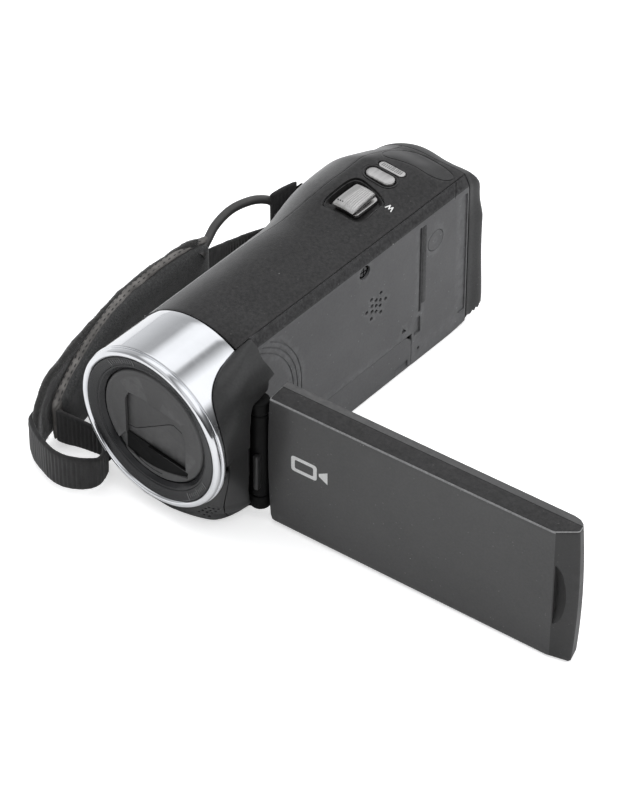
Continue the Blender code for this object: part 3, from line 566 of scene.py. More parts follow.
def moulded(name, colour, roughness, grain=0.35, height=0.02, specks=0.0, worn=0.35, speckle=0.25,
            sheen=0.0, level=0.5):
    """Moulded plastic: eroded grain, light specks, uneven gloss, paler worn edges and a little dust."""
    m = Nodes(name, colour, roughness)
    fine = m.noise(1000.0 / grain, 3.0, 0.65)
    coarse = m.noise(90.0, 2.0)
    mottle = m.noise(1000.0 / (2.4 * grain), 4.0, 0.75)
    darker, lighter = shade(colour, 1 - speckle), shade(colour, 1 + 1.4 * speckle)
    tint = m.mix(m.ramp(mottle, 0.34, 0.66), darker, lighter)
    tint = m.mix(m.ramp(coarse, 0.35, 0.7, 0.0, 0.25), tint, shade(colour, 1.25))
    geometry = m.node("NewGeometry")
    edge = m.ramp(geometry.outputs["Pointiness"], 0.53, 0.60, 0.0, worn)
    patchy = m.maths("MULTIPLY", edge, m.ramp(m.noise(400.0, 4.0), 0.35, 0.65))
    tint = m.mix(patchy, tint, shade(colour, 3.2))
    if specks:
        grit = m.ramp(m.voronoi(620.0), 0.17, 0.10, 0.0, 0.55 * specks)
        chosen = m.ramp(m.noise(300.0, 1.0), 0.56, 0.60)
        tint = m.mix(m.maths("MULTIPLY", grit, chosen), tint, shade(colour, 6.0))
        dust = m.ramp(m.voronoi(260.0), 0.055, 0.035)
        sparse = m.ramp(m.noise(120.0, 1.0), 0.62, 0.66)
        dusty = m.maths("MULTIPLY", m.maths("MULTIPLY", dust, sparse), specks)
        tint = m.mix(dusty, tint, (0.5, 0.5, 0.48))
    m.colour(tint)
    m.roughness(m.ramp(m.noise(55.0, 3.0), 0.3, 0.7, roughness - 0.06, roughness + 0.07))
    m.settle(Sheen_Weight=sheen, Sheen_Roughness=0.35, Specular_IOR_Level=level)
    m.bump(fine, 0.55, height)
    return m.made


def polished(name, colour, roughness, coat=0.4, level=0.5):
    """Smooth gloss with faint smears."""
    m = Nodes(name, colour, roughness)
    m.roughness(m.ramp(m.noise(70.0, 5.0), 0.3, 0.75, roughness, roughness + 0.06))
    m.colour(m.mix(m.ramp(m.noise(30.0), 0.3, 0.7), colour, shade(colour, 1.3)))
    m.settle(Specular_IOR_Level=level, Coat_Weight=coat)
    m.bump(m.noise(300.0), 0.15, 0.003)
    return m.made


def chrome_plate(name):
    """Mirror plating with faint haze and fine wipe marks."""
    m = Nodes(name, (0.86, 0.87, 0.89), 0.07, 1.0)
    haze = m.noise(45.0, 4.0)
    wipes = m.noise(60.0, 4.0, 0.7, m.stretch((1.0, 14.0, 1.0), (0.0, 0.4, 0.2)))
    wiped = m.ramp(wipes, 0.5, 0.8, 0.0, 0.10)
    m.roughness(m.maths("ADD", m.ramp(haze, 0.35, 0.75, 0.05, 0.16), wiped))
    m.colour(m.mix(m.ramp(haze, 0.3, 0.7), (0.80, 0.81, 0.83), (0.90, 0.91, 0.93)))
    m.bump(m.noise(38.0, 2.0), 0.10, 0.05)
    return m.made


def brushed(name, colour, roughness, direction):
    """Metal-look finish with fine lines in one direction."""
    m = Nodes(name, colour, roughness, 1.0)
    lines = m.noise(900.0, 3.0, 0.7, m.stretch(direction))
    m.colour(m.mix(m.ramp(lines, 0.3, 0.7), shade(colour, 0.80), shade(colour, 1.12)))
    m.roughness(m.ramp(lines, 0.3, 0.7, roughness - 0.07, roughness + 0.1))
    m.bump(lines, 0.4, 0.006)
    return m.made


def circuit_board(name):
    """Solder mask with traces, pads and small dark parts."""
    m = Nodes(name, (0.01, 0.09, 0.04), 0.45)
    brick = m.node("TexBrick")
    brick.inputs["Scale"].default_value = 260.0
    brick.inputs["Color1"].default_value = (0.010, 0.085, 0.035, 1)
    brick.inputs["Color2"].default_value = (0.014, 0.12, 0.05, 1)
    brick.inputs["Mortar"].default_value = (0.05, 0.2, 0.08, 1)
    m.link(m.place, brick.inputs["Vector"])
    pads = m.ramp(m.voronoi(420.0), 0.24, 0.2)
    m.colour(m.mix(pads, brick.outputs["Color"], (0.55, 0.45, 0.2)))
    m.bump(m.voronoi(200.0), 0.5, 0.1)
    return m.made


def coated_glass(name, tint, coat):
    """Dark glass whose coating shows at a glancing view."""
    m = Nodes(name, tint, 0.03)
    facing = m.node("LayerWeight")
    facing.inputs["Blend"].default_value = 0.35
    m.colour(m.mix(facing.outputs["Facing"], tint, coat))
    m.settle(Coat_Weight=1.0, IOR=1.7)
    m.roughness(m.ramp(m.noise(200.0), 0.4, 0.8, 0.02, 0.06))
    return m.made


def woven(name, colour, pitch):
    """Webbing: upright yarns with finer fibres over them."""
    m = Nodes(name, colour, 0.85)
    across = m.noise(1000.0 / pitch, 2.0, 0.5, m.stretch((1.0, 1.0, 0.35)))
    yarn = m.noise(2600.0, 2.0)
    both = m.maths("ADD", m.maths("MULTIPLY", across, 0.6), m.maths("MULTIPLY", yarn, 0.5))
    m.colour(m.mix(m.ramp(both, 0.3, 0.9), shade(colour, 0.5), shade(colour, 2.2)))
    m.bump(both, 0.7, 0.12)
    m.settle(Sheen_Weight=0.25)
    return m.made


def fuzzy(name, colour, clump=0.8, height=0.35, sheen=0.5):
    """Looped or brushed nap: clumps of fibre over fine hairs."""
    m = Nodes(name, colour, 0.95)
    clumps = m.noise(1000.0 / clump, 5.0, 0.8)
    fibres = m.noise(3400.0, 2.0, 0.8)
    both = m.maths("ADD", m.maths("MULTIPLY", clumps, 0.7), m.maths("MULTIPLY", fibres, 0.4))
    m.colour(m.mix(m.ramp(both, 0.42, 0.75), shade(colour, 0.45), shade(colour, 3.4)))
    m.bump(both, 0.9, height)
    m.settle(Sheen_Weight=sheen, Sheen_Roughness=0.5)
    return m.made


def leathery(name, colour):
    """Coated cloth: creased grain, worn paler on its high spots."""
    m = Nodes(name, colour, 0.6)
    cells = m.voronoi(1000.0 / 0.9, "DISTANCE_TO_EDGE")
    creases = m.noise(160.0, 5.0, 0.7)
    m.colour(m.mix(m.ramp(creases, 0.42, 0.68), colour, shade(colour, 2.0)))
    m.roughness(m.ramp(creases, 0.3, 0.7, 0.72, 0.5))
    both = m.maths("ADD", m.ramp(cells, 0.0, 0.12), m.maths("MULTIPLY", creases, 1.5))
    m.bump(both, 0.6, 0.06)
    return m.made


def rubbery(name, colour):
    """Soft jacket of a cord or a thread."""
    m = Nodes(name, colour, 0.5)
    m.colour(m.mix(m.ramp(m.noise(140.0, 4.0), 0.35, 0.7), colour, shade(colour, 1.5)))
    m.roughness(m.ramp(m.noise(90.0), 0.3, 0.7, 0.42, 0.6))
    m.bump(m.noise(1800.0), 0.25, 0.01)
    return m.made


def amber_lens(name):
    """Tinted plastic over a small lamp."""
    m = Nodes(name, (0.75, 0.28, 0.04), 0.25)
    m.settle(Transmission_Weight=0.3)
    m.colour(m.mix(m.ramp(m.noise(600.0), 0.3, 0.7), (0.62, 0.2, 0.03), (0.85, 0.36, 0.06)))
    return m.made


def printed(name, colour):
    """Opaque screen-printed ink with slight unevenness."""
    m = Nodes(name, colour, 0.5)
    m.colour(m.mix(m.ramp(m.noise(1500.0, 3.0), 0.3, 0.75), shade(colour, 0.82), colour))
    m.bump(m.noise(2500.0), 0.2, 0.004)
    return m.made


LOOK = {
    "top": moulded("textured black moulding", (0.0095, 0.009, 0.009), 0.50, grain=0.42, height=0.07,
                   specks=1.0, worn=0.45, speckle=0.95, sheen=0.28),
    "top_smooth": moulded("smooth black moulding", (0.018, 0.0175, 0.0175), 0.40, grain=0.25, height=0.008,
                          specks=0.3, worn=0.3, speckle=0.2, sheen=0.08),
    "grip": moulded("grip moulding", (0.022, 0.0215, 0.0215), 0.55, grain=0.45, height=0.06,
                    specks=0.6, worn=0.3, speckle=0.7, sheen=0.50),
    "wall": moulded("grey side moulding", (0.112, 0.112, 0.114), 0.62, grain=0.3, height=0.010,
                    specks=0.3, worn=0.15, speckle=0.08),
    "strip": moulded("dark strip moulding", (0.023, 0.0225, 0.023), 0.52, grain=0.4, height=0.06,
                     specks=0.9, worn=0.4, speckle=0.8, sheen=0.08),
    "front": moulded("front moulding", (0.021, 0.021, 0.021), 0.40, grain=0.3, height=0.012,
                     specks=0.2, worn=0.35, speckle=0.2),
    # painted shade: near-black with faint gloss, for the hinge column and recesses seen in shadow
    "hinge": moulded("painted shade black moulding", (0.004, 0.004, 0.004), 0.55, grain=0.3, height=0.008,
                     worn=0.2, speckle=0.1, level=0.12),
    "cap": moulded("rear frame moulding", (0.045, 0.045, 0.045), 0.50, grain=0.3, height=0.012,
                   specks=0.3, worn=0.3, speckle=0.15),
    "panel": moulded("screen cover moulding", (0.058, 0.0575, 0.0575), 0.42, grain=0.3, height=0.010,
                     specks=0.35, worn=0.45, speckle=0.10),
    "panel_top": moulded("screen edge moulding", (0.014, 0.0135, 0.0135), 0.55, grain=0.4, height=0.04,
                         specks=0.8, worn=0.5, speckle=0.6),
    # painted shade: a darker copy of the screen moulding for the bevelled free end
    "panel_end": moulded("screen end painted shade moulding", (0.026, 0.0255, 0.0255), 0.45, grain=0.3, height=0.010,
                         specks=0.3, worn=0.45, speckle=0.12),
    # painted highlight: a pale copy of the screen moulding for its rounded upper front edge
    "rubbed": moulded("rubbed screen edge", (0.20, 0.20, 0.20), 0.34, grain=0.3, height=0.010,
                      worn=0.5, speckle=0.3),
    "shutter": moulded("shutter plastic", (0.062, 0.0615, 0.0615), 0.48, grain=0.3, height=0.008,
                       specks=0.1, worn=0.25, speckle=0.08),
    "ring": polished("lens trim gloss", (0.013, 0.013, 0.014), 0.22, coat=0.0, level=0.4),
    "gloss": polished("gloss black", (0.010, 0.010, 0.011), 0.10),
    "chrome": chrome_plate("chrome plate"),
    "silver": brushed("brushed silver", (0.62, 0.61, 0.60), 0.34, (1.0, 0.06, 1.0)),
    "steel": brushed("plain steel", (0.46, 0.46, 0.47), 0.38, (1.0, 1.0, 0.15)),
    "board": circuit_board("circuit board"),
    "battery": moulded("battery moulding", (0.06, 0.06, 0.065), 0.5, height=0.01),
    "lens": coated_glass("coated lens glass", (0.012, 0.010, 0.022), coat=(0.10, 0.05, 0.16)),
    "screen": coated_glass("display glass", (0.008, 0.009, 0.011), coat=(0.03, 0.035, 0.045)),
    "amber": amber_lens("amber lamp"),
    "webbing": woven("strap webbing", (0.015, 0.0145, 0.0145), pitch=1.3),
    "loop": fuzzy("loop fastener nap", (0.014, 0.0135, 0.013)),
    "pad": fuzzy("pad cloth", (0.022, 0.022, 0.022), clump=0.5, height=0.12, sheen=0.35),
    "binding": leathery("edge binding", (0.095, 0.090, 0.085)),
    "thread": rubbery("black thread", (0.03, 0.03, 0.03)),
    "cable": rubbery("cable jacket", (0.040, 0.039, 0.038)),
    "ink": printed("white ink", (0.80, 0.80, 0.79)),
    "grey_ink": printed("grey ink", (0.19, 0.19, 0.19)),
}


# ---------------------------------------------------------------- housing skins

# Places on the top and the base are (x, y), on the side (y, z), on the rear (x, z)
PHOTO, PHOTO_WIDE, PHOTO_DEEP = (-0.9, 101.4), 9.8, 4.3
LABEL, LABEL_WIDE, LABEL_DEEP = (-0.5, 106.2), 9.4, 2.6
START, START_R = (3.2, 40.0), 5.5
LAMP, LAMP_R = (3.2, 27.0), 0.9
POWER, POWER_R = (105.9, 41.8), 3.4
VIEW, VIEW_R = (40.0, 19.5), 2.2
SCREW_R = 2.0
SIDE_SCREW = (74.0, 50.0)
BASE_SCREWS = [(10.0, 29.0), (-3.0, 103.0)]
SPEAKER, SPEAKER_STEP = (79.2, 34.2), 2.1
DOOR = (-18.6, -5.6, 13.0, 46.0)         # its left, right, low and high edges
TRIPOD, TRIPOD_R = (0.0, 40.0), 4.4
PATCH = [(-8.8, 112.5), (-7.8, 116.7), (-2.2, 119.6), (5.6, 119.9), (12.6, 118.2), (12.8, 115.3),
         (8.0, 112.4), (0.7, 111.4), (-6.2, 109.8)]         # smooth patch behind the buttons
WELL = [(-6.7, 82.3), (-7.2, 90.3), (-5.9, 96.1), (-1.2, 96.9), (6.6, 94.4), (7.1, 90.7), (6.7, 82.9),
        (-0.1, 82.5)]                                       # recess round the zoom lever
WELL_MIDDLE, WELL_REACH = (-0.2, 89.6), 7.0


def pill(centre, width, depth, steps=12):
    """Outline of a slot with round ends."""
    (x, y), across, deep = centre, width / 2, depth / 2
    return rounded_outline(x - across, x + across, y - deep, y + deep, deep - 0.01, steps)


def curve_through(points, per_span=6, closed=False):
    """Catmull-Rom curve through points of any dimension."""
    count = len(points)
    vectors = [Vector(point) for point in points]
    out = []
    spans = count if closed else count - 1
    for i in range(spans):
        p1, p2 = vectors[i], vectors[(i + 1) % count]
        p0 = vectors[(i - 1) % count] if closed or i > 0 else p1 * 2 - p2
        p3 = vectors[(i + 2) % count] if closed or i + 2 < count else p2 * 2 - p1
        for step in range(per_span):
            t = step / per_span
            out.append(0.5 * ((2 * p1) + (p2 - p0) * t + (2 * p0 - 5 * p1 + 4 * p2 - p3) * t * t
                              + (3 * p1 - p0 - 3 * p2 + p3) * t ** 3))
    if not closed:
        out.append(vectors[-1])
    return out


def inside(point, outline):
    """Whether a plan point is inside a closed outline."""
    x, y = point
    odd = False
    for (x0, y0), (x1, y1) in zip(outline, outline[1:] + outline[:1]):
        if (y0 > y) != (y1 > y) and x < (x1 - x0) * (y - y0) / (y1 - y0) + x0:
            odd = not odd
    return odd


def paint_faces(piece, index, test):
    """Gives faces whose centre, in design millimetres, passes a test another of the piece's materials."""
    for face in piece.data.polygons:
        centre = face.center / MM
        if test(centre.x, centre.y + ORIGIN_Y, centre.z):
            face.material_index = index


def well_outline(inset=0.0):
    """Rounded outline of the recess round the zoom lever, shrunk towards its middle."""
    middle = Vector(WELL_MIDDLE)
    reach = 1 - inset / WELL_REACH
    return [tuple(middle + (point - middle) * reach) for point in curve_through(WELL, 8, closed=True)]


def on_top(outline, lift=0.0):
    """Plan points raised onto the top cover."""
    return [(x, y, top_height(x, y) + lift) for x, y in outline]


def cover_ys(count):
    """Stations of the covers between the chrome and the rear cap."""
    return spread(SLEEVE_END + GAP, REAR_SEAM - GAP / 2, count)


def top_cover():
    rows = []
    for y in cover_ys(92):
        start = SEAM_TURN + gap_turn(SEAM_TURN, y)
        end = grip_seam(y) - gap_turn(grip_seam(y), y)
        rows.append([on_body(turn, y) for turn in spread(start, end, 58)])
    made = bake(solidify(sheet("top_cover_skin", rows), SKIN))
    low, high = 52, 64                               # through the top
    cutters = bmesh.new()
    add_prism(cutters, well_outline(), low, high)
    add_prism(cutters, pill(PHOTO, PHOTO_WIDE + 0.8, PHOTO_DEEP + 0.8), low, high)
    add_prism(cutters, pill(LABEL, LABEL_WIDE + 0.6, LABEL_DEEP + 0.6), low, high)
    carve(made, cutters)
    patch = [tuple(point) for point in curve_through(PATCH, 8, closed=True)]
    grooves = bmesh.new()
    for outline, width in ((patch, 0.28), (pill(PHOTO, PHOTO_WIDE + 2.2, PHOTO_DEEP + 2.1), 0.25)):
        add_trench(grooves, on_top(outline), (0, 0, 1), width, 0.16, closed=True)
    carve(made, grooves)
    bake(bevel(made, 0.12, 2, 55))
    paint_faces(made, 1, lambda x, y, z: y > 108 and z > 54 and inside((x, y), patch))
    dress(made, "housing", "cover_black", "top top_smooth", "top_cover")


def grip_cover():
    rows = []
    lowest = 360 + GRIP_TURN
    for y in cover_ys(92):
        start = grip_seam(y) + gap_turn(grip_seam(y), y)
        rows.append([on_body(turn, y) for turn in spread(start, lowest - gap_turn(GRIP_TURN, y), 56)])
    turns = spread(grip_seam(0) + 0.3, lowest - 0.3, 56)
    front = [sleeve_edge(turn) if turn < 360 + LIP_END else SLEEVE_END for turn in turns]
    rows = [[on_body(turn, edge + GAP) for turn, edge in zip(turns, front)]] + rows
    made = bake(bevel(solidify(sheet("grip_cover_skin", rows), SKIN), 0.15, 2, 60))
    dress(made, "housing", "cover_black", "grip", "grip_cover")


def base_cover():
    rows = []
    for y in cover_ys(80):
        start = 360 + GRIP_TURN + gap_turn(GRIP_TURN, y)
        end = 360 + math.degrees(math.atan2(base_height(y) - AXIS_Z, wall_x(y) - 1.0 - GAP))
        rows.append([on_body(turn, y) for turn in spread(start, end, 16)])
    made = bake(solidify(sheet("base_cover_skin", rows), SKIN))
    cutters = bmesh.new()
    add_rod(cutters, (*TRIPOD, 0), TRIPOD_R + GAP, 8, sides=64)
    for x, y in BASE_SCREWS:
        add_rod(cutters, (x, y, 0), SCREW_R + GAP, 8, sides=40)
    for x, front in ((-6.4, 26), (13.4, 46)):
        add_trench(cutters, [(x, front, 0), (x, 106, 0)], (0, 0, -1), 0.4, 0.25)
    carve(made, cutters)
    bake(bevel(made, 0.12, 2, 55))
    dress(made, "housing", "cover_black", "top", "base_cover")


def speaker_holes():
    """One hole, six round it, and six more at twice the distance, turned by half a step."""
    holes = [SPEAKER]
    for ring, first in ((1, 30), (2, 0)):
        holes += arc(SPEAKER, ring * SPEAKER_STEP, first, first + 300, 6)
    return holes


def side_rows():
    """Rows of the side wall and its sloping strip, whose upper front corner stops at the front moulding."""
    rows = []
    for y in [16.6, 20.0, 24.0] + spread(28.5, REAR_SEAM - GAP, 60):
        low = math.degrees(math.atan2(base_height(y) - AXIS_Z, wall_x(y))) + 0.05
        turns = spread(low, -5, 12) + spread(5, STRIP_TURN - 3, 10)
        turns += spread(STRIP_TURN - 2, STRIP_TURN + 2, 7)
        turns += [STRIP_TURN + 3.5, SEAM_TURN - 1.5, SEAM_TURN - gap_turn(SEAM_TURN, y) - 0.1]
        row = []
        for turn in turns:
            x, _, z = on_body(turn, max(y, 30.5))
            high = z > STRIP_FOOT[1] - 2
            row.append((x, 26.8 + 0.02 * (y - 16.0) if high and y < 25 else y, z))
        rows.append(row)
    return rows


def side_cover():
    """Flat wall behind the screen, its sloping strip, and what is moulded into it."""
    made = bake(solidify(sheet("side_cover_skin", side_rows()), SKIN))
    middle = SIDE_X - 0.1                            # of the rods through the wall
    cutters = bmesh.new()
    add_box(cutters, (8, 10, -2), (20, SLEEVE_END + GAP, 1.8))
    add_box(cutters, (10, JACK_FRONT - 0.2, -3), (20, JACK_REAR + 0.2, JACK_TOP + 0.2))
    add_rod(cutters, (middle, *SIDE_SCREW), SCREW_R + GAP, 6, "X", 48)
    add_rod(cutters, (middle, *POWER), POWER_R + 0.15, 6, "X", 64)
    add_rod(cutters, (middle, *VIEW), VIEW_R + 0.15, 6, "X", 48)
    add_rod(cutters, (middle, 98.9, 4.9), 0.6, 6, "X", 20)
    for y, z in speaker_holes():
        add_rod(cutters, (middle, y, z), 0.66, 6, "X", 20)
    carve(made, cutters)
    slot = rounded_outline(98.6, 99.7, 18.8, 50.7, 0.5, 6)
    short_slot = rounded_outline(96.8, 99.7, 10.9, 17.2, 0.5, 6)
    arrow = [(91.2, 15.2), (93.4, 15.2), (91.6, 17.4)]
    rear_band = rounded_outline(117.2, 120.5, 6.0, 50.6, 0.8, 6)
    marks = bmesh.new()
    for outline, depth in ((slot, 0.65), (short_slot, 0.65), (arrow, 0.65), (rear_band, 0.45)):
        add_prism(marks, outline, SIDE_X - depth, 20, "X")
    carve(made, marks)
    grooves = bmesh.new()
    for radius, start in ((27.85, 58.5), (26.05, 64.5), (24.3, 67.0)):
        path = [(SIDE_X, y, z) for y, z in arc((18.5, 27.6), radius, -6, start, 48)]
        add_trench(grooves, path, (1, 0, 0), 0.45, 0.2)
    carve(made, grooves)
    seam = bmesh.new()
    upper, lower = Vector((13.6, 118.2, 57.6)), Vector((SIDE_X + 0.3, 114.5, 51.9))
    add_trench(seam, [upper, lower], (0.87, 0, 0.49), 0.28, 0.3)
    carve(made, seam)
    bake(bevel(made, 0.1, 2, 55))
    paint_faces(made, 1, lambda x, y, z: z > STRIP_FOOT[1] - 0.25)
    # painted shade: the wall's front part inside the hinge well gets the near-black painted-shade material
    paint_faces(made, 2, lambda x, y, z: y < 23.8 and z < 50)
    dress(made, "housing", "wall_grey", "wall strip hinge", "left_side_cover")
    rib = bmesh.new()
    add_prism(rib, rounded_outline(99.9, 101.7, 21.5, 50.4, 0.6, 6), SIDE_X - 0.3, SIDE_X + 0.13, "X")
    dress(bake(bevel(make("side_rib", rib), 0.08, 2)), "housing", "wall_grey", "strip")


# Turn about the lens axis and y of the front side moulding's rear edge
RIM = [(-50, 17.6), (-44, 15.4), (-35, 13.8), (-20, 13.4), (0, 13.2), (14, 13.3), (24, 14.3), (28, 15.4),
       (29.2, 18.6), (30.6, 22.3), (33.0, 23.1), (34.6, 23.4), (35.2, 24.4), (35.7, 26.2), (38.4, 25.85),
       (42, 25.4), (46, 25.0), (48.9, 25.2), (52, 26.0), (55, 26.4), (60, 26.5)]


def side_rim(turn):
    """Rear edge of the front side moulding: a crescent at the hinge, a pointed lobe, then a shoulder."""
    if turn < RIM[0][0]:
        return SLEEVE_END + (RIM[0][1] - SLEEVE_END) * smooth_step(turn, -56, RIM[0][0])
    for (start, near), (end, far) in zip(RIM, RIM[1:]):
        if turn <= end:
            return near + (far - near) * max(0.0, (turn - start) / (end - start))
    return RIM[-1][1]


def front_sheet(name, turns, front, back, count, power):
    """Skin of a front moulding between two edges, with more rows where it rolls in at its front."""
    columns = [[on_front(turn, y) for y in crowded(front(turn), back(turn), count, power)] for turn in turns]
    return sheet(name, list(zip(*columns)))


def front_side_cover():
    def front(turn):
        return max(sleeve_edge(turn), lip_edge(turn) if turn < -3 else 0.0) + GAP

    turns = spread(LIP_TURN + 0.5, -50, 12) + spread(-49, 24, 44) + spread(25, 31.8, 14)
    turns += spread(32.1, 35.5, 28) + spread(35.9, 45, 22) + spread(45.5, SEAM_TURN - 0.4, 24)
    skin = solidify(front_sheet("front_side_skin", turns, front, side_rim, 26, 1.4), 1.0)
    dress(bake(bevel(skin, 0.3, 3, 60)), "housing", "cover_black", "front", "front_side_cover")


def add_pin(bm, centre, direction, radius, length):
    """Rod through a point along any direction."""
    made = bmesh.ops.create_cone(
        bm, cap_ends=True, segments=16, radius1=radius, radius2=radius, depth=length)
    turned = Vector(direction).to_track_quat("Z", "Y").to_matrix().to_4x4()
    bmesh.ops.transform(bm, matrix=Matrix.Translation(Vector(centre)) @ turned, verts=made["verts"])


def front_lower_cover():
    """Lip under the lens with three rows of microphone holes, each cut square to the surface."""
    def front(turn):
        return sleeve_edge(turn) + GAP

    made = front_sheet("front_lip_skin", spread(LIP_END, -8, 110), front, lip_edge, 22, 1.8)
    bake(solidify(made, SKIN))
    holes = bmesh.new()
    for row in range(3):
        for i in range(4):
            turn, y = -60.0 + 3.7 * i + 1.2 * row, 4.3 + 0.5 * row + 0.15 * row * row
            centre = Vector(on_front(turn, y))
            across, behind = Vector(on_front(turn + 0.5, y)), Vector(on_front(turn, y + 0.3))
            add_pin(holes, centre, (across - centre).cross(behind - centre), 0.42, 2.4)
    carve(made, holes)
    bake(bevel(made, 0.12, 2, 60))
    dress(made, "housing", "cover_black", "front", "front_lower_cover")


def cap_inset(turn, bend, y):
    """How far the rear cap's outside lies within the body's section, as it bends round to the back."""
    back = math.radians(bend)
    right = smooth_step(math.cos(math.radians(turn)), 0.3, 0.7)
    bulge = 0.7 * right * math.sin(math.pi * min(1.0, 1.35 * math.sin(back))) if bend else 0.0
    corner = 0.0
    if turn < 180:
        corner = smooth_step(turn, 22, 50) * (1 - 0.8 * smooth_step(turn, 58, 112))
    rounding = 6.0 * (1 - math.cos(back)) * (1 - 0.25 * right)
    return rounding - max(0.0, bulge) + 3.4 * corner * smooth_step(y, 120.5, 129.0)


def rear_cap():
    rows = []
    start = REAR_SEAM + GAP / 2
    for bend in [0, 4] + spread(9, 90, 22):
        y = start + (LENGTH - start) * math.sin(math.radians(bend))
        turns = [2.0 * i for i in range(180)]
        rows.append([on_body(turn, y, cap_inset(turn, bend, y)) for turn in turns])
    made = bake(solidify(sheet("rear_cap_skin", rows, closed=True, cap=True), SKIN))
    x0, x1, z0, z1 = DOOR
    low, high, middle = 124, 131, 127                # of the cutters through the back
    cutters = bmesh.new()
    add_prism(cutters, rounded_outline(x0 - GAP, x1 + GAP, z0 - GAP, z1 + GAP, 3.0), low, high, "Y")
    add_rod(cutters, (START[0], middle, START[1]), START_R + 0.25, 8, "Y", 72)
    add_rod(cutters, (LAMP[0], middle, LAMP[1]), LAMP_R + 0.2, 8, "Y", 32)
    carve(made, cutters)
    foot = bmesh.new()                               # squarer lower corners let the door's foot turn
    add_prism(foot, rounded_outline(x0 - GAP, x1 + GAP, z0 - GAP, z0 + 4.0, 0.6), low, high, "Y")
    carve(made, foot)
    ring = bmesh.new()
    path = [(x, LENGTH, z) for x, z in arc(START, START_R + 1.5, 0, 355, 72)]
    add_trench(ring, path, (0, 1, 0), 0.35, 0.25, closed=True)
    carve(made, ring)
    bake(bevel(made, 0.15, 2, 55))
    dress(made, "housing", "panel_black", "cap", "rear_cap")


# ---------------------------------------------------------------- lens group

def chrome_sleeve():
    """Polished sleeve: rolled front lip, a fine step behind it, and the sweeping rear edge."""
    lip = [(0.9, 23.55), (0.45, 23.7), (0.2, 24.0), (0.1, 24.4), (0.14, 24.8), (0.3, 25.15), (0.6, 25.45),
           (1.0, 25.62), (1.5, 25.7), (1.9, 25.7), (2.0, 25.62), (2.1, 25.45), (2.25, 25.45), (2.35, 25.8),
           (2.5, 25.94), (2.7, BARREL_R)]
    columns = []
    for i in range(240):
        turn = 1.5 * i
        edge = sleeve_edge(turn if turn < 270 else turn - 360)
        profile = lip + [(y, BARREL_R) for y in spread(2.9, edge - 0.25, 11)]
        profile += [(edge - 0.08, BARREL_R - 0.05), (edge, BARREL_R - 0.2)]
        columns.append([on_section(turn, y, radius) for y, radius in profile])
    made = solidify(sheet("chrome_sleeve_skin", list(zip(*columns)), closed=True), 0.6)
    dress(bake(made, 50), "housing", "chrome", "chrome", "chrome_sleeve")


def lens_ring():
    """Black trim between the chrome lip and the shutter, with two stepped edges and two rows of ticks."""
    profile = [(23.4, 0.75), (23.2, 0.62), (20.9, 1.05), (20.5, 1.2), (20.3, 1.45), (20.2, 1.5), (19.9, 1.5),
               (19.75, 1.6), (18.8, 2.35), (18.7, 2.5), (18.7, 3.2), (23.4, 3.2)]
    made = bake(lathe("lens_ring_skin", profile, (0, 0, AXIS_Z), "Y", 160), 30)
    dress(made, "housing", "gloss_black", "ring", "lens_ring")
    tick_r = 22.0
    ticks = bmesh.new()
    for centre in (118, 322):
        for k in range(-5, 6):
            turn = math.radians(centre + 2.6 * k)
            reach = 1.0 if k % 5 == 0 else 0.55
            out = Vector((math.cos(turn), 0, math.sin(turn)))
            side = Vector((-out.z, 0, out.x)) * 0.13
            middle = Vector((0, 0, AXIS_Z)) + out * tick_r
            corners = [middle + out * a * reach + side * b for a, b in ((-1, -1), (1, -1), (1, 1), (-1, 1))]
            for corner in corners:
                corner.y = 0.80 - 0.19 * (math.hypot(corner.x, corner.z - AXIS_Z) - tick_r)
            add_tile(ticks, corners, Vector((0, -0.05, 0)))
    dress(bake(make("lens_ring_ticks", ticks)), "housing", "gloss_black", "grey_ink")


def add_tile(bm, corners, lift):
    """Thin tile between its corners and the same corners moved by lift."""
    add_skin(bm, [add_points(bm, corners), add_points(bm, [corner + lift for corner in corners])])


WINDOW = [(-11.0, 22.3), (11.4, 20.6), (11.6, 31.5), (9.4, 37.4), (-4.0, 38.6), (-9.6, 38.2), (-11.0, 35.0)]


def add_pocket(bm, front):
    """Sloped pocket under the shutter's window, deeper away from its curved lower edge."""
    curve = [(-14.6 + 27.2 * t, 17.6 + 1.2 * t - 3.0 * math.sin(math.pi * t)) for t in spread(0, 1, 24)]
    outline = curve + [(12.4, 20.4), (-11.4, 22.4)]
    depths = [0.08 + 0.75 * clamp((z - (14.9 + 0.05 * x)) / 5.5) for x, z in outline]
    near = add_points(bm, [(x, 0.0, z) for x, z in outline])
    far = add_points(bm, [(x, front + depth, z) for (x, z), depth in zip(outline, depths)])
    bm.faces.new(near)
    bmesh.ops.triangulate(bm, faces=[bm.faces.new(far)])
    add_skin(bm, [near, far], capped=False)
    bmesh.ops.recalc_face_normals(bm, faces=bm.faces)


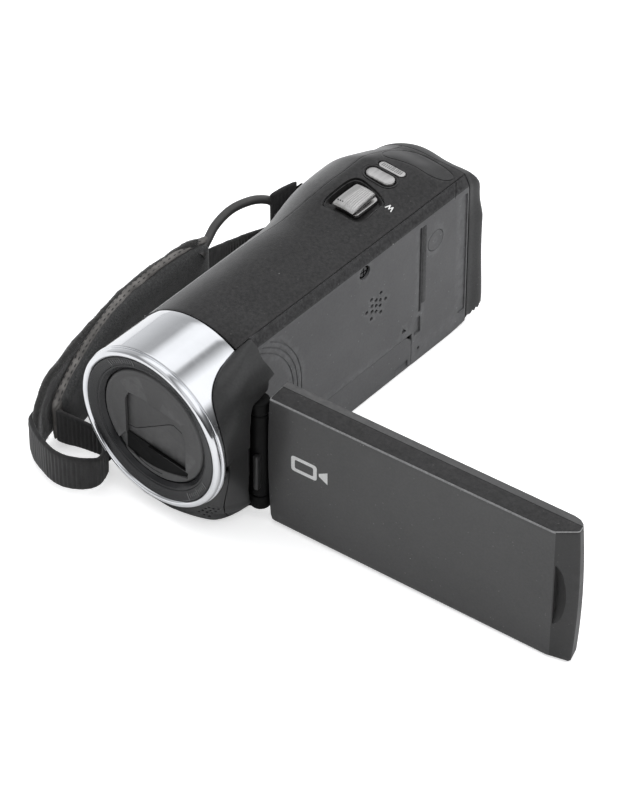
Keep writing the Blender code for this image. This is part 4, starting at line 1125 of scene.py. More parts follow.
def barrier_plate():
    """Disc with its window, the sloped pocket under it, and a stepped rim."""
    front, back = 2.62, 3.6
    profile = [(0.001, front), (15.6, front), (16.6, front - 0.1), (17.4, front - 0.35), (17.8, front - 0.4),
               (18.1, front - 0.3), (18.3, front), (18.45, front + 0.2), (18.45, back), (0.001, back)]
    made = bake(lathe("shutter_plate_skin", profile, (0, 0, AXIS_Z), "Y", 144), 30)
    window = bmesh.new()
    add_prism(window, WINDOW, 0, 8, "Y")
    carve(made, window)
    pocket = bmesh.new()
    add_pocket(pocket, front)
    carve(made, pocket)

    def in_pocket(x, y, z):
        return z < 22.3 and front + 0.1 < y < back - 0.05 and x * x + (z - AXIS_Z) ** 2 < 280

    give(made, "shutter hinge")
    # painted shade: the pocket's recessed faces get the near-black painted-shade material
    paint_faces(made, 1, in_pocket)
    bake(bevel(made, 0.1, 2, 50))
    dress(made, "housing", "panel_black", "shutter hinge", "barrier_plate")
    ledge = bmesh.new()
    path = [(x, front + 0.02, z) for x, z in arc((0, AXIS_Z), 17.0, -119.175, -81.36, 24)]
    add_trench(ledge, path, (0, -1, 0), 0.45, 0.1, 0.28)
    dress(bake(bevel(make("shutter_ledge", ledge), 0.1, 2)), "housing", "gloss_black", "ring")


def barrier_blades():
    """Two leaves that meet along a stepped seam."""
    front = round(frame_mm("barrier_blade_upper")[0].y + ORIGIN_Y, 2)
    seam = [(-12.4, 24.0), (-8.0, 24.6), (4.6, 33.4), (6.2, 34.0), (12.4, 31.6)]
    upper = [(x, z + 0.1) for x, z in seam] + [(12.4, 40.0), (-12.4, 40.0)]
    lower = [(x, z - 0.1) for x, z in reversed(seam)] + [(-12.4, 20.4), (12.4, 20.4)]
    for name, outline in (("upper", upper), ("lower", lower)):
        bm = bmesh.new()
        add_prism(bm, outline, front, front + 0.6, "Y")
        made = bake(bevel(make("shutter_leaf_" + name, bm), 0.12, 2))
        dress(made, "barrier_" + name, "panel_black", "shutter", "barrier_blade_" + name)


# ---------------------------------------------------------------- controls

LEVER_FRONT = (-3.9, 4.1, 83.2)          # left, right and y of the lever's front edge
LEVER_REAR = (-3.2, 3.7, 93.8)           # and of its rear edge
LEVER_RIBS = (0.38, 0.95)                # where its ribs lie across it


def lever_x(share, y):
    """Across the tapering lever: 0 at its left edge and 1 at its right."""
    t = (y - LEVER_FRONT[2]) / (LEVER_REAR[2] - LEVER_FRONT[2])
    left = LEVER_FRONT[0] + (LEVER_REAR[0] - LEVER_FRONT[0]) * t
    right = LEVER_FRONT[1] + (LEVER_REAR[1] - LEVER_FRONT[1]) * t
    return left + (right - left) * share


def lever_plate():
    """Arched top plate with a rolled front lip and fine front-to-back ribs over its right part."""
    profile = [(83.3, 58.75), (83.2, 59.0), (83.22, 59.3), (83.4, 59.55), (83.8, 59.8), (84.8, 60.15),
               (86.4, 60.4), (88.5, 60.55), (90.6, 60.65), (92.6, 60.7), (93.3, 60.6), (93.7, 60.3),
               (93.8, 59.9), (93.8, 58.75)]
    bm = bmesh.new()
    grid = []
    for y, z in profile:
        row = []
        for share in spread(0, 1, 111):
            x = lever_x(share, y)
            edge = min(share, 1 - share) * 8.0
            crown = -0.035 * (x - 0.2) ** 2 - 0.4 * max(0.0, 1 - edge / 0.35) ** 2
            rib = 0.0
            if 84.6 < y < 93 and LEVER_RIBS[0] < share < LEVER_RIBS[1]:
                rib = 0.16 * (0.5 + 0.5 * math.cos(2 * math.pi * (share - LEVER_RIBS[0]) / 0.087))
            row.append((x, y, z + (crown + rib if z > 59.2 else 0.0)))
        grid.append(add_points(bm, row))
    add_skin(bm, grid, closed=False, capped=False)
    for column in (0, -1):
        bm.faces.new([row[column] for row in grid])
    bm.faces.new([*grid[0], *reversed(grid[-1])])
    bmesh.ops.recalc_face_normals(bm, faces=bm.faces)
    return bake(make("zoom_lever_cap", bm), 45)


def zoom_lever():
    """Lever in layers: the ribbed plate, a dark neck that leaves a gap, and a lower skirt."""
    dress(lever_plate(), "zoom_lever", "silver", "silver", "zoom_lever")
    neck = bmesh.new()
    add_prism(neck, rounded_outline(-2.9, 3.1, 84.6, 93.0, 0.8, 6), 57.6, 59.6)
    dress(bake(make("zoom_lever_neck", neck)), "zoom_lever", "silver", "ring")
    skirt = bmesh.new()
    outline = [(-4.1, 84.4), (0.2, 84.6), (3.9, 84.3), (4.5, 85.0), (4.5, 93.6), (3.9, 94.4), (2.1, 94.9),
               (-2.9, 94.5), (-3.9, 93.6)]
    add_prism(skirt, outline, 56.8, 57.9)
    dress(bake(bevel(make("zoom_lever_skirt", skirt), 0.25, 3)), "zoom_lever", "silver", "silver")
    dots = bmesh.new()
    for k in range(3):
        add_rod(dots, (lever_x(0.12 + 0.11 * k, 85.0), 84.9, 59.85 + 0.1 * k), 0.2, 0.3, "Z", 12)
    dress(bake(make("zoom_lever_dots", dots)), "zoom_lever", "silver", "ring")


def zoom_well():
    """Shallow dish that follows the top under the lever, with a deep slot along its left and rear."""
    steps = ((0.2, 0.75), (0.35, 0.5), (0.6, 0.55), (1.3, 1.3), (2.4, 1.75), (4.2, 1.9), (6.6, 1.9))
    bm = bmesh.new()
    rings = [add_points(bm, [(x, y, 54.6) for x, y in well_outline(0.2)])]
    for inset, depth in steps:
        highest = 56.6 if inset > 1 else 60.0        # the middle stays below the lever's skirt
        ring = [(x, y, min(z, highest)) for x, y, z in on_top(well_outline(inset), -depth)]
        rings.append(add_points(bm, ring))
    add_skin(bm, rings)
    made = bake(make("zoom_well_skin", bm), 35)
    slot = bmesh.new()
    path = [(x, y, 57.0) for x, y in well_outline(1.25)[2:27]]
    add_trench(slot, path, (0, 0, 1), 1.3, 1.9, 3.0)
    carve(made, slot)
    dress(made, "housing", "cover_black", "top", "zoom_well")


def crowned_pill(name, centre, width, depth, low, high, crown, edge):
    """Round-ended button with a crowned top and a rounded rim."""
    rim = ((low, 0), (high - edge, 0), (high - edge * 0.6, edge * 0.12), (high - edge * 0.25, edge * 0.45),
           (high, edge))
    rings = []
    for level, inset in rim:
        rings.append([(x, y, level) for x, y in pill(centre, width - 2 * inset, depth - 2 * inset)])
    flat_wide, flat_deep = width - 2 * edge, depth - 2 * edge
    for share in (0.8, 0.55, 0.3):
        inner = pill(centre, flat_wide - flat_deep * (1 - share), flat_deep * share)
        rings.append([(x, y, high + crown * (1 - share ** 2)) for x, y in inner])
    bm = bmesh.new()
    add_skin(bm, [add_points(bm, ring) for ring in rings])
    return bake(make(name, bm), 40)


def top_buttons():
    button = crowned_pill("photo_button_cap", PHOTO, PHOTO_WIDE, PHOTO_DEEP, 57.6, 59.7, 0.15, 0.5)
    dress(button, "photo_button", "silver", "silver", "photo_button")
    plate = crowned_pill("photo_label_insert", LABEL, LABEL_WIDE, LABEL_DEEP, 57.7, 59.25, 0.05, 0.2)
    dress(plate, "housing", "silver", "silver", "photo_label_plate")
    ribs = bmesh.new()
    for k in range(-5, 6):
        x, y = LABEL[0] + 0.68 * k, LABEL[1]
        add_box(ribs, (x - 0.12, y - 0.7, 59.2), (x + 0.12, y + 0.7, 59.38))
    dress(bake(bevel(make("photo_label_ribs", ribs), 0.05, 1)), "housing", "gloss_black", "grey_ink")
    collar = bmesh.new()
    path = on_top(pill(PHOTO, PHOTO_WIDE + 1.6, PHOTO_DEEP + 1.5), -0.03)
    add_trench(collar, path, (0, 0, 1), 0.35, 0.1, 0.12, closed=True)
    dress(bake(bevel(make("photo_button_collar", collar), 0.05, 2)), "housing", "cover_black", "top_smooth")


def zoom_letter():
    """W beside the lever, for wide, as one printed tile for each stroke."""
    corners = [Vector(point) for point in ((-1.0, 0.8), (-0.5, -0.8), (0.0, 0.5), (0.5, -0.8), (1.0, 0.8))]
    half = 0.17
    bm = bmesh.new()
    for start, end in zip(corners, corners[1:]):
        along = (end - start).normalized() * half
        side = Vector((-along.y, along.x))
        flat = (start - along + side, end + along + side, end + along - side, start - along - side)
        tile = on_top([(9.0 - a, 93.8 - b) for a, b in flat], 0.01)
        add_tile(bm, [Vector(point) for point in tile], Vector((0, 0, 0.03)))
    dress(bake(make("zoom_mark_wide", bm)), "housing", "cover_black", "ink")


def round_part(name, profile, centre, axis, body, slot, looks, *nodes, steps=64):
    dress(bake(lathe(name, profile, centre, axis, steps), 35), body, slot, looks, *nodes)


def buttons():
    """Buttons on the side and the rear, and the charge lamp."""
    profile = [(0.001, 14.6), (POWER_R, 14.6), (POWER_R, 16.3), (POWER_R - 0.12, 16.45), (2.6, 16.42),
               (1.8, 16.34), (0.9, 16.27), (0.001, 16.25)]
    round_part("power_button_cap", profile, (0, *POWER), "X", "power_button", "wall_grey", "wall",
               "power_button")
    profile = [(0.001, 14.5), (VIEW_R, 14.5), (VIEW_R, 16.5), (VIEW_R - 0.2, 16.68), (1.0, 16.62),
               (0.001, 16.6)]
    round_part("view_button_cap", profile, (0, *VIEW), "X", "view_button", "wall_grey", "wall",
               "view_button")
    profile = [(0.001, 125.6), (START_R, 125.6), (START_R, 128.4), (START_R - 0.25, 128.8),
               (START_R - 0.7, 128.9), (4.2, 128.82), (2.4, 128.66), (0.001, 128.6)]
    round_part("start_stop_cap", profile, (START[0], 0, START[1]), "Y", "start_stop_button", "silver",
               "silver", "start_stop_button", steps=96)
    profile = [(0.001, 125.8), (LAMP_R, 125.8), (LAMP_R, 127.9), (LAMP_R - 0.2, 128.15), (0.001, 128.25)]
    round_part("charge_lamp_lens", profile, (LAMP[0], 0, LAMP[1]), "Y", "housing", "lamp_amber", "amber",
               "charge_lamp", steps=32)


def screw(name, centre, axis, outwards, looks, node):
    """Pan-head screw with a cross recess; outwards is 1 or -1 along the axis."""
    head = outwards * 0.55
    profile = [(0.001, -outwards), (SCREW_R, -outwards), (SCREW_R, 0.1 * outwards),
               (SCREW_R - 0.35, head * 0.85), (SCREW_R * 0.5, head), (0.001, head)]
    made = bake(lathe(name, profile, centre, axis, 40), 35)
    x, y, z = centre
    for a, b in ((SCREW_R * 0.6, 0.22), (0.22, SCREW_R * 0.6)):
        slot = bmesh.new()
        if axis == "X":
            add_box(slot, (x, y - a, z - b), (x + 2, y + a, z + b))
        else:
            add_box(slot, (x - a, y - b, z - 2), (x + a, y + b, z))
        carve(made, slot)
    dress(made, "housing", "steel", looks, node)


def screws():
    screw("side_screw_head", (15.3, *SIDE_SCREW), "X", 1, "ring", "side_screw")
    for number, (x, y) in enumerate(BASE_SCREWS, 1):
        screw("base_screw_head_%d" % number, (x, y, 1.2), "Z", -1, "steel", "base_screw_%d" % number)


def tripod_socket():
    """Socket in the base with eight turns of thread."""
    top, bore = 3.0, 3.1
    profile = [(TRIPOD_R, 0.15), (TRIPOD_R, top)]
    for k in range(8):
        profile += [(bore, top - 0.34 * k - 0.05), (bore + 0.3, top - 0.34 * k - 0.2)]
    profile += [(bore + 0.4, 0.15)]
    round_part("tripod_thread", profile[::-1], (*TRIPOD, 0), "Z", "housing", "steel", "steel",
               "tripod_socket", steps=80)


def jack_cover():
    """Long cover over the sockets, with a nail notch near its rear end."""
    low = JACK_LOW.z
    outline = [(JACK_FRONT, low), (JACK_REAR, low), (JACK_REAR, 9.8), (JACK_REAR - 0.4, 10.6),
               (JACK_REAR - 2.2, 12.2), (JACK_REAR - 3.0, JACK_TOP), (JACK_FRONT + 0.6, JACK_TOP),
               (JACK_FRONT, JACK_TOP - 0.6)]
    bm = bmesh.new()
    add_prism(bm, outline, SIDE_X - 1.4, SIDE_X, "X")
    made = bake(bevel(make("jack_cover_skin", bm), 0.18, 3))
    notch = bmesh.new()
    add_rod(notch, (SIDE_X + 1.4, JACK_REAR - 4.5, 2.2), 2.0, 6, "Y", 32)
    carve(made, notch)
    dress(made, "jack_cover", "wall_grey", "wall", "jack_cover")


def battery_cover():
    """Door on the back with a finger scoop and four grip grooves."""
    x0, x1, z0, z1 = DOOR
    bm = bmesh.new()
    add_prism(bm, rounded_outline(x0, x1, z0, z1, 2.7, 10), LENGTH - 1.6, LENGTH - 0.05, "Y")
    made = bake(bevel(make("battery_cover_skin", bm), 0.22, 3))
    cutters = bmesh.new()
    ball = bmesh.ops.create_uvsphere(cutters, u_segments=40, v_segments=24, radius=6.0)
    bmesh.ops.translate(cutters, vec=Vector(((x0 + x1) / 2, LENGTH + 5.2, z1 - 4.5)), verts=ball["verts"])
    for k in range(4):
        z = z0 + 5.0 + 2.0 * k
        add_box(cutters, (x0 + 3.0, LENGTH - 0.3, z), (x1 - 3.0, LENGTH + 1, z + 0.7))
    carve(made, cutters)
    dress(made, "battery_cover", "panel_black", "cap", "battery_cover")


# ---------------------------------------------------------------- screen

def from_middle(z):
    """Height on the panel as a share: -1 at its lower edge and 1 at its upper."""
    return (z - PANEL_MIDDLE) / PANEL_TALL * 2


def panel_end(z):
    """The free end bows outwards between its two corners."""
    return PANEL_FAR + 2.5 - 1.0 * from_middle(z) ** 2


def panel_start(z):
    """The hinge end bows a little the other way."""
    return PANEL_NEAR - 0.8 * (1 - from_middle(z) ** 2)


def panel_plan(z, inset):
    """Outline at a height: square at the hinge, a wide bevel and a round corner at the free end."""
    near, far = panel_start(z) + inset, panel_end(z) - inset
    outer, inner = PANEL_OUT + inset, PANEL_IN - inset
    back = 2.2 * (z - PANEL_LOW) / PANEL_TALL        # the bevel slopes back further at its top
    points = [(near, inner), (near, outer + 0.5), (near + 0.1, outer + 0.18), (near + 0.4, outer)]
    points += [(u, outer) for u in spread(14, 90, 8)]
    points += [(96.2 - inset, outer), (97.0 - inset, outer + 0.2)]
    points += [(far - 0.5 - 0.3 * back, outer + 1.3 + back), (far - 0.3 * back, outer + 1.9 + back)]
    points += [(far - 0.9, COVER_EDGE), (far - 0.95, BEZEL_EDGE), (far - 1.8, inner - 1.3),
               (far - 3.0, inner - 0.4), (far - 5.0, inner)]
    return points + [(u, inner) for u in spread(90, 14, 8)]


def panel_drop(u, z):
    """The lower edge runs a little downhill towards the free end."""
    return z - 1.0 * max(0.0, u / PANEL_FAR) * (1 - (z - PANEL_LOW) / PANEL_TALL)


def panel_shell(name, levels, trim):
    """Half of the screen from (height, inset) levels; trim cuts each outline point to that half."""
    bm = bmesh.new()
    rings = []
    for z, inset in levels:
        rise = max(0.0, 1 - (z - PANEL_LOW) / PANEL_CORNER)
        corner = PANEL_CORNER * (1 - math.sqrt(max(0.0, 1 - rise ** 2)))
        start = panel_start(z) + inset + corner
        plan = [trim(max(u, start), v, panel_end(z) - inset) for u, v in panel_plan(z, inset)]
        rings.append(add_points(bm, [(u, v, panel_drop(u, z)) for u, v in plan]))
    add_skin(bm, rings)
    bmesh.ops.dissolve_degenerate(bm, dist=1e-4, edges=bm.edges)
    bmesh.ops.recalc_face_normals(bm, faces=bm.faces)
    return bake(make(name, bm, panel_world), 30)


def paint_screen_cover(piece):
    """Painted highlight along the rounded upper edge, textured top, and painted shade darkening the bevelled
    end.
    """
    along = PANEL_TURN @ Vector((1, 0, 0))
    pivot = Vector((SWING_X, SWING_Y - ORIGIN_Y, 0))
    for face in piece.data.polygons:
        centre, up = face.center / MM, face.normal.z
        # painted shade on the bevelled free end
        if (centre - pivot).dot(along) > 97.0 and up < 0.5:
            face.material_index = 3
        elif up > 0.9 and centre.z > PANEL_HIGH - 0.3:
            face.material_index = 1
        # painted highlight on the rounded edge between the front and the top
        elif 0.1 < up <= 0.9 and centre.z > PANEL_HIGH - 0.7:
            face.material_index = 2


def screen_cover():
    """Outer half of the screen with softly rounded edges and a finger scoop at the free end."""
    levels = [(PANEL_LOW, 0.75), (PANEL_LOW + 0.1, 0.42), (PANEL_LOW + 0.35, 0.15), (PANEL_LOW + 0.8, 0.0)]
    levels += [(z, 0.0) for z in spread(PANEL_LOW + 2.0, PANEL_HIGH - 2.0, 18)]
    levels += [(PANEL_HIGH - 0.55, 0.0), (PANEL_HIGH - 0.25, 0.1), (PANEL_HIGH - 0.07, 0.28),
               (PANEL_HIGH, 0.55)]
    made = panel_shell("screen_cover_skin", levels, lambda u, v, end: (u, min(v, COVER_EDGE)))
    hollow = bmesh.new()
    add_box(hollow, (PANEL_NEAR + 1.6, PANEL_OUT + 1.4, PANEL_LOW + 1.5),
            (PANEL_FAR - 8, PANEL_IN + 2, PANEL_HIGH - 1.5))
    carve(made, hollow, panel_world)
    shaft_hole = bmesh.new()
    add_rod(shaft_hole, (PANEL_NEAR, TILT_V, TILT_Z), 1.8, 6, "X", 32)
    carve(made, shaft_hole, panel_world)
    scoop = bmesh.new()
    add_scoop(scoop)
    carve(made, scoop, panel_world)
    paint_screen_cover(made)
    dress(made, "screen", "panel_black", "panel panel_top rubbed panel_end", "lcd_cover")


def add_scoop(bm):
    """Crescent finger scoop in the bevelled end: half of an ellipsoid."""
    ball = bmesh.ops.create_uvsphere(bm, u_segments=48, v_segments=28, radius=1.0)
    for vert in ball["verts"]:
        along, through, up = vert.co
        vert.co = Vector((97.3 + 4.4 * max(0.0, along), PANEL_OUT - 0.3 + 2.6 * through, 24.0 + 11.5 * up))


def screen_bezel():
    """Inner half of the screen round the glass, with small slots, a fine groove and the joystick's hole."""
    levels = [(PANEL_LOW, 0.6), (PANEL_LOW + 0.2, 0.2), (PANEL_LOW + 0.6, 0.0)]
    levels += [(z, 0.0) for z in spread(PANEL_LOW + 3.0, PANEL_HIGH - 3.0, 14)]
    levels += [(PANEL_HIGH - 0.5, 0.0), (PANEL_HIGH - 0.15, 0.15), (PANEL_HIGH, 0.5)]

    def trim(u, v, end):
        return min(end - 0.95, u), max(v, BEZEL_EDGE)

    made = panel_shell("screen_bezel_skin", levels, trim)
    opening = bmesh.new()
    add_prism(opening, rounded_outline(13.8, 77.7, 5.2, 43.4, 0.6, 4), 0, 12, "Y")
    add_rod(opening, (JOYSTICK_U, PANEL_IN, JOYSTICK_Z), 3.1, 12, "Y", 48)
    carve(made, opening, panel_world)
    details = bmesh.new()
    for k in range(5):
        add_rod(details, (8.6, PANEL_IN, 19.6 + 2.2 * k), 0.5, 1.2, "Y", 16)
    corners = ((12.2, 3.6), (80.4, 3.6), (80.4, 45.0), (12.2, 45.0))
    add_trench(details, [(u, PANEL_IN, z) for u, z in corners], (0, 1, 0), 0.3, 0.2, closed=True)
    carve(made, details, panel_world)
    dress(made, "screen", "panel_black", "panel", "lcd_bezel")


def joystick():
    profile = [(0.001, -1.3), (2.6, -1.3), (2.5, 0.7), (2.3, 1.0), (2.0, 1.1), (1.4, 0.85), (0.001, 0.75)]
    centre = (JOYSTICK_U, PANEL_IN - 1.3, JOYSTICK_Z)
    made = bake(lathe("joystick_cap", profile, centre, "Y", 64, panel_world), 35)
    dress(made, "joystick", "panel_black", "gloss", "joystick")


def hinge():
    """Column of the hinge: a turning barrel with its arm and lug, between two fixed collars; barrel, arm and
    collars are near-black painted shade.
    """
    profile = [(1.0, 9.3), (2.6, 9.3), (3.0, 9.7), (3.0, 39.3), (2.6, 39.7), (1.0, 39.7)]
    barrel = bake(lathe("swing_barrel", profile, (SWING_X, SWING_Y, 0), "Z", 64), 40)
    dress(barrel, "screen_swing", "panel_black", "hinge", "swing_block")
    arm = bmesh.new()
    add_prism(arm, [(1.4, 0.3), (3.0, 0.3), (3.0, 5.9), (1.4, 5.9), (-1.0, 2.6)], 18.0, 31.0)
    dress(bake(bevel(make("swing_arm", arm, panel_world), 0.3, 3)), "screen_swing", "panel_black", "hinge")
    lug = bmesh.new()
    add_prism(lug, [(0.4, -4.2), (2.0, -4.2), (2.0, -2.0), (0.4, -2.0)], 13.3, 25.9)
    dress(bake(bevel(make("swing_lug", lug, panel_world), 0.35, 3)), "screen_swing", "panel_black", "front")
    foot, head, inside_x = 4.6, 44.2, 16.9
    collars = bmesh.new()
    for low, high in ((foot, 9.1), (39.9, head)):
        outline = arc((SWING_X, SWING_Y), 3.1, -108.862, 108.862, 24)
        outline += [(inside_x, SWING_Y + 2.9), (inside_x, 14.9), (21.6, 14.9)]
        add_prism(collars, outline, low, high)
    add_box(collars, (inside_x, 13.0, foot), (21.5, 14.7, head))
    collars = bake(bevel(make("hinge_collars", collars), 0.5, 4, 40))
    dress(collars, "housing", "panel_black", "hinge", "hinge_bracket")


def panel_mark():
    """Plain printed pictogram of a camera in place of any wording."""
    def spots(outline):
        return [Vector((11.6 + a, PANEL_OUT - 0.005, 24.6 + b)) for a, b in outline]

    lift = Vector((0, -0.03, 0))
    bm = bmesh.new()
    body = spots(rounded_outline(0, 8.6, 0, 5.6, 1.0, 5))
    hole = spots(rounded_outline(1.2, 7.4, 1.2, 4.4, 0.5, 5))
    for i in range(len(body)):
        j = (i + 1) % len(body)
        add_tile(bm, [body[i], body[j], hole[j], hole[i]], lift)
    add_tile(bm, spots(((9.3, 2.3), (12.2, 0.6), (12.2, 5.0), (9.3, 3.3))), lift)
    dress(bake(make("screen_cover_mark", bm, panel_world)), "screen", "panel_black", "ink")


# ---------------------------------------------------------------- soft goods

def even_steps(stations, step):
    """Stations (x, y, low, high) turned into a smooth path with even steps in plan."""
    fine = curve_through(stations, 24)
    out = [fine[0]]
    travelled = 0.0
    for before, after in zip(fine, fine[1:]):
        travelled += (after.xy - before.xy).length
        if travelled >= step:
            out.append(after)
            travelled = 0.0
    if (out[-1] - fine[-1]).length > step / 3:
        out.append(fine[-1])
    return out


def band(name, stations, thickness, step=0.7, rise=18, swell=None, rough=0.0):
    """Upright soft strip along a plan path with rounded edges.

    swell(distance, share) adds to its half thickness, and rough is the size of its unevenness.
    """
    path = even_steps(stations, step)
    squareness = 3.0                                 # how flat its sides stay before they round over
    half = thickness / 2
    count = 2 * rise + 8
    bm = bmesh.new()
    rings = []
    distance = 0.0
    for i, station in enumerate(path):
        before, after = path[max(0, i - 1)], path[min(len(path) - 1, i + 1)]
        along = (after.xy - before.xy).normalized()
        side = Vector((along.y, -along.x))
        distance += (station.xy - before.xy).length
        low, high = station.z, station.w
        height = (high - low) / 2
        end = min(i, len(path) - 1 - i) * step
        pinch = math.sqrt(min(1.0, (end + 0.15) / (half + 0.15)))
        ring = []
        for k in range(count):
            turn = 2 * math.pi * k / count
            c, s = math.cos(turn), math.sin(turn)
            across = 0.0 if abs(c) < 0.02 else abs(c) ** 0.5
            share = math.copysign(abs(s) ** (1 / squareness), s)
            edge = min(1.0, (1 - abs(share)) * height / half + 0.02)
            out = half * math.sqrt(1 - (1 - edge) ** 2) * pinch
            if swell is not None:
                out += swell(distance, share) * min(1.0, edge * 2) * pinch
            x, y = station.xy + side * math.copysign(out, c) * min(1.0, across * 3)
            point = Vector((x, y, (low + high) / 2 + share * height))
            if rough:
                fine, broad = noise.noise_vector(point * 0.9), noise.noise_vector(point * 0.25)
                point += fine * rough + broad * rough * 1.5
            ring.append(point)
        rings.append(add_points(bm, ring))
    add_skin(bm, rings)
    return make(name, bm)


def inflate(piece, voxel, pressure, most, frames=20):
    """Plumps a closed cushion with a short cloth run and keeps each point near where it began."""
    remesh = piece.modifiers.new("Voxels", "REMESH")
    remesh.mode = "VOXEL"
    remesh.voxel_size = voxel * MM
    bake(piece, 180)
    start = [vert.co.copy() for vert in piece.data.vertices]
    cloth = piece.modifiers.new("Cloth", "CLOTH")
    cloth.settings.quality = 6
    cloth.settings.mass = 0.3
    cloth.settings.bending_stiffness = 0.6
    cloth.settings.use_pressure = True
    cloth.settings.uniform_pressure_force = pressure
    cloth.settings.effector_weights.gravity = 0.0
    cloth.collision_settings.use_collision = False
    scene = bpy.context.scene
    for number in range(1, frames + 1):
        scene.frame_set(number)
    graph = bpy.context.evaluated_depsgraph_get()
    puffed = piece.evaluated_get(graph)
    moved = [vert.co.copy() for vert in puffed.data.vertices]
    piece.modifiers.clear()
    scene.frame_set(1)
    for vert, first, last in zip(piece.data.vertices, start, moved):
        shift = last - first
        if shift.length > most * MM:
            shift *= most * MM / shift.length
        vert.co = first + shift
    return bake(subdivide(piece), 180)


def around(middle, side, other, radius, turns):
    """Points round a middle in the plane of two directions, at turns in radians."""
    return [middle + (side * math.cos(turn) + other * math.sin(turn)) * radius for turn in turns]


def hairs(name, piece, count, length, thickness, seed):
    """Loose fibres standing off a fuzzy surface, each a thin tapered spike."""
    random.seed(seed)
    faces = list(piece.data.polygons)
    weights = [face.area for face in faces]
    bm = bmesh.new()
    for face in random.choices(faces, weights, k=count):
        corners = [piece.data.vertices[index].co for index in face.vertices]
        mixing = [random.random() + 0.05 for _ in corners]
        root = sum((corner * share for corner, share in zip(corners, mixing)), Vector()) / sum(mixing) / MM
        lean = Vector([random.uniform(-1, 1) for _ in range(3)])
        out = (face.normal + lean * 0.9).normalized()
        side = out.orthogonal().normalized()
        other = out.cross(side)
        reach = length * random.uniform(0.5, 1.3)
        bend = Vector([random.uniform(-1, 1) for _ in range(3)]) * reach * 0.35
        foot = root - out * 0.12
        rings = []
        for share, width in ((0.0, 1.0), (0.55, 0.8)):
            middle = foot + out * reach * share + bend * share * share
            ring = around(middle, side, other, thickness * width, (0.0, 2.1, 4.2))
            rings.append(add_points(bm, ring))
        tip = bm.verts.new(foot + out * reach + bend)
        bm.faces.new(rings[0])
        for k in range(3):
            m = (k + 1) % 3
            bm.faces.new((rings[0][k], rings[0][m], rings[1][m], rings[1][k]))
            bm.faces.new((rings[1][k], rings[1][m], tip))
    bmesh.ops.recalc_face_normals(bm, faces=bm.faces)
    return make(name, bm, lambda x, y, z: Vector((x, y, z)) * MM)


def tube(name, path, radius, sides):
    """Round cord along points; radius is a function of the share of its length."""
    turns = spread(0, 2 * math.pi * (sides - 1) / sides, sides)
    side = Vector((0, 0, 1))
    last = len(path) - 1
    bm = bmesh.new()
    rings = []
    for i, point in enumerate(path):
        along = (path[min(last, i + 1)] - path[max(0, i - 1)]).normalized()
        side = (side - along * side.dot(along)).normalized()
        rings.append(add_points(bm, around(point, side, along.cross(side), radius(i / last), turns)))
    add_skin(bm, rings)
    return bake(make(name, bm), 60)


# Stations of the soft strips: x, y, low edge, high edge
PAD_PATH = [(-36.2, 3.0, 4.0, 18.5), (-37.6, 10, 4.0, 23.5), (-39.0, 22, 5.0, 30.5), (-39.4, 34, 6.0, 35.0),
            (-39.0, 46, 7.0, 37.0), (-37.8, 58, 8.0, 38.0), (-35.8, 66, 9.0, 37.6)]
BINDING_PATH = [(-37.6, 0.6, 5.0, 17.0), (-39.2, 8, 5.5, 22.6), (-40.6, 20, 6.5, 29.8),
                (-41.2, 34, 7.5, 35.4), (-40.6, 46, 8.5, 37.6), (-39.4, 58, 9.5, 38.8),
                (-37.6, 67, 10.5, 38.6)]
FLAP_PATH = [(-38.5, -6.2, 2.2, 13.6), (-40.2, -3.8, 2.2, 16.6), (-41.4, -1.0, 2.4, 20.0),
             (-42.4, 4, 3.0, 24.0), (-43.2, 14.5, 4.0, 28.4), (-43.5, 28, 5.0, 32.6), (-42.8, 41, 7.0, 36.2),
             (-41.4, 51, 8.0, 38.0), (-39.6, 59, 9.0, 39.4), (-37.6, 64.0, 10.0, 39.8)]
LOOP_PATH = [(-42.0, -1.5, 2.6, 15.4), (-41.6, -4.6, 2.3, 15.0), (-38.0, -7.2, 2.0, 14.6),
             (-33.0, -9.0, 1.8, 14.2), (-28.5, -9.9, 1.6, 14.0), (-24.5, -9.5, 1.5, 13.8),
             (-20.8, -7.6, 1.5, 13.4), (-18.4, -4.6, 1.4, 12.6), (-18.0, -1.4, 1.4, 11.2),
             (-19.6, 2.4, 1.4, 10.2), (-21.9, 4.6, 1.5, 10.0)]
RUN_PATH = [(-37.6, 1.4, 4.0, 16.4), (-34.6, 2.0, 4.0, 16.0), (-31.0, 3.6, 3.8, 14.8),
            (-27.0, 5.4, 3.0, 13.0), (-23.6, 6.6, 2.4, 11.4)]
BACK_PATH = [(-36.4, 62.0, 12.0, 36.0), (-36.6, 69.0, 11.0, 34.0), (-37.0, 76.0, 10.4, 31.6),
             (-36.8, 84.0, 10.0, 29.4), (-35.6, 90.0, 10.0, 28.4), (-33.8, 95.6, 10.0, 28.0),
             (-32.0, 99.4, 10.0, 28.0)]
TAB_PATH = [(-35.0, 92.0, 27.6, 40.0), (-33.4, 95.8, 27.6, 41.4), (-31.4, 99.6, 27.6, 42.4)]
CABLE_PATH = [(-36.3, 62.0, 35.0), (-37.6, 67.0, 37.0), (-39.4, 73.0, 38.4), (-39.6, 80.0, 39.6),
              (-38.0, 87.0, 39.4), (-36.0, 92.0, 37.6), (-34.9, 94.6, 34.6)]


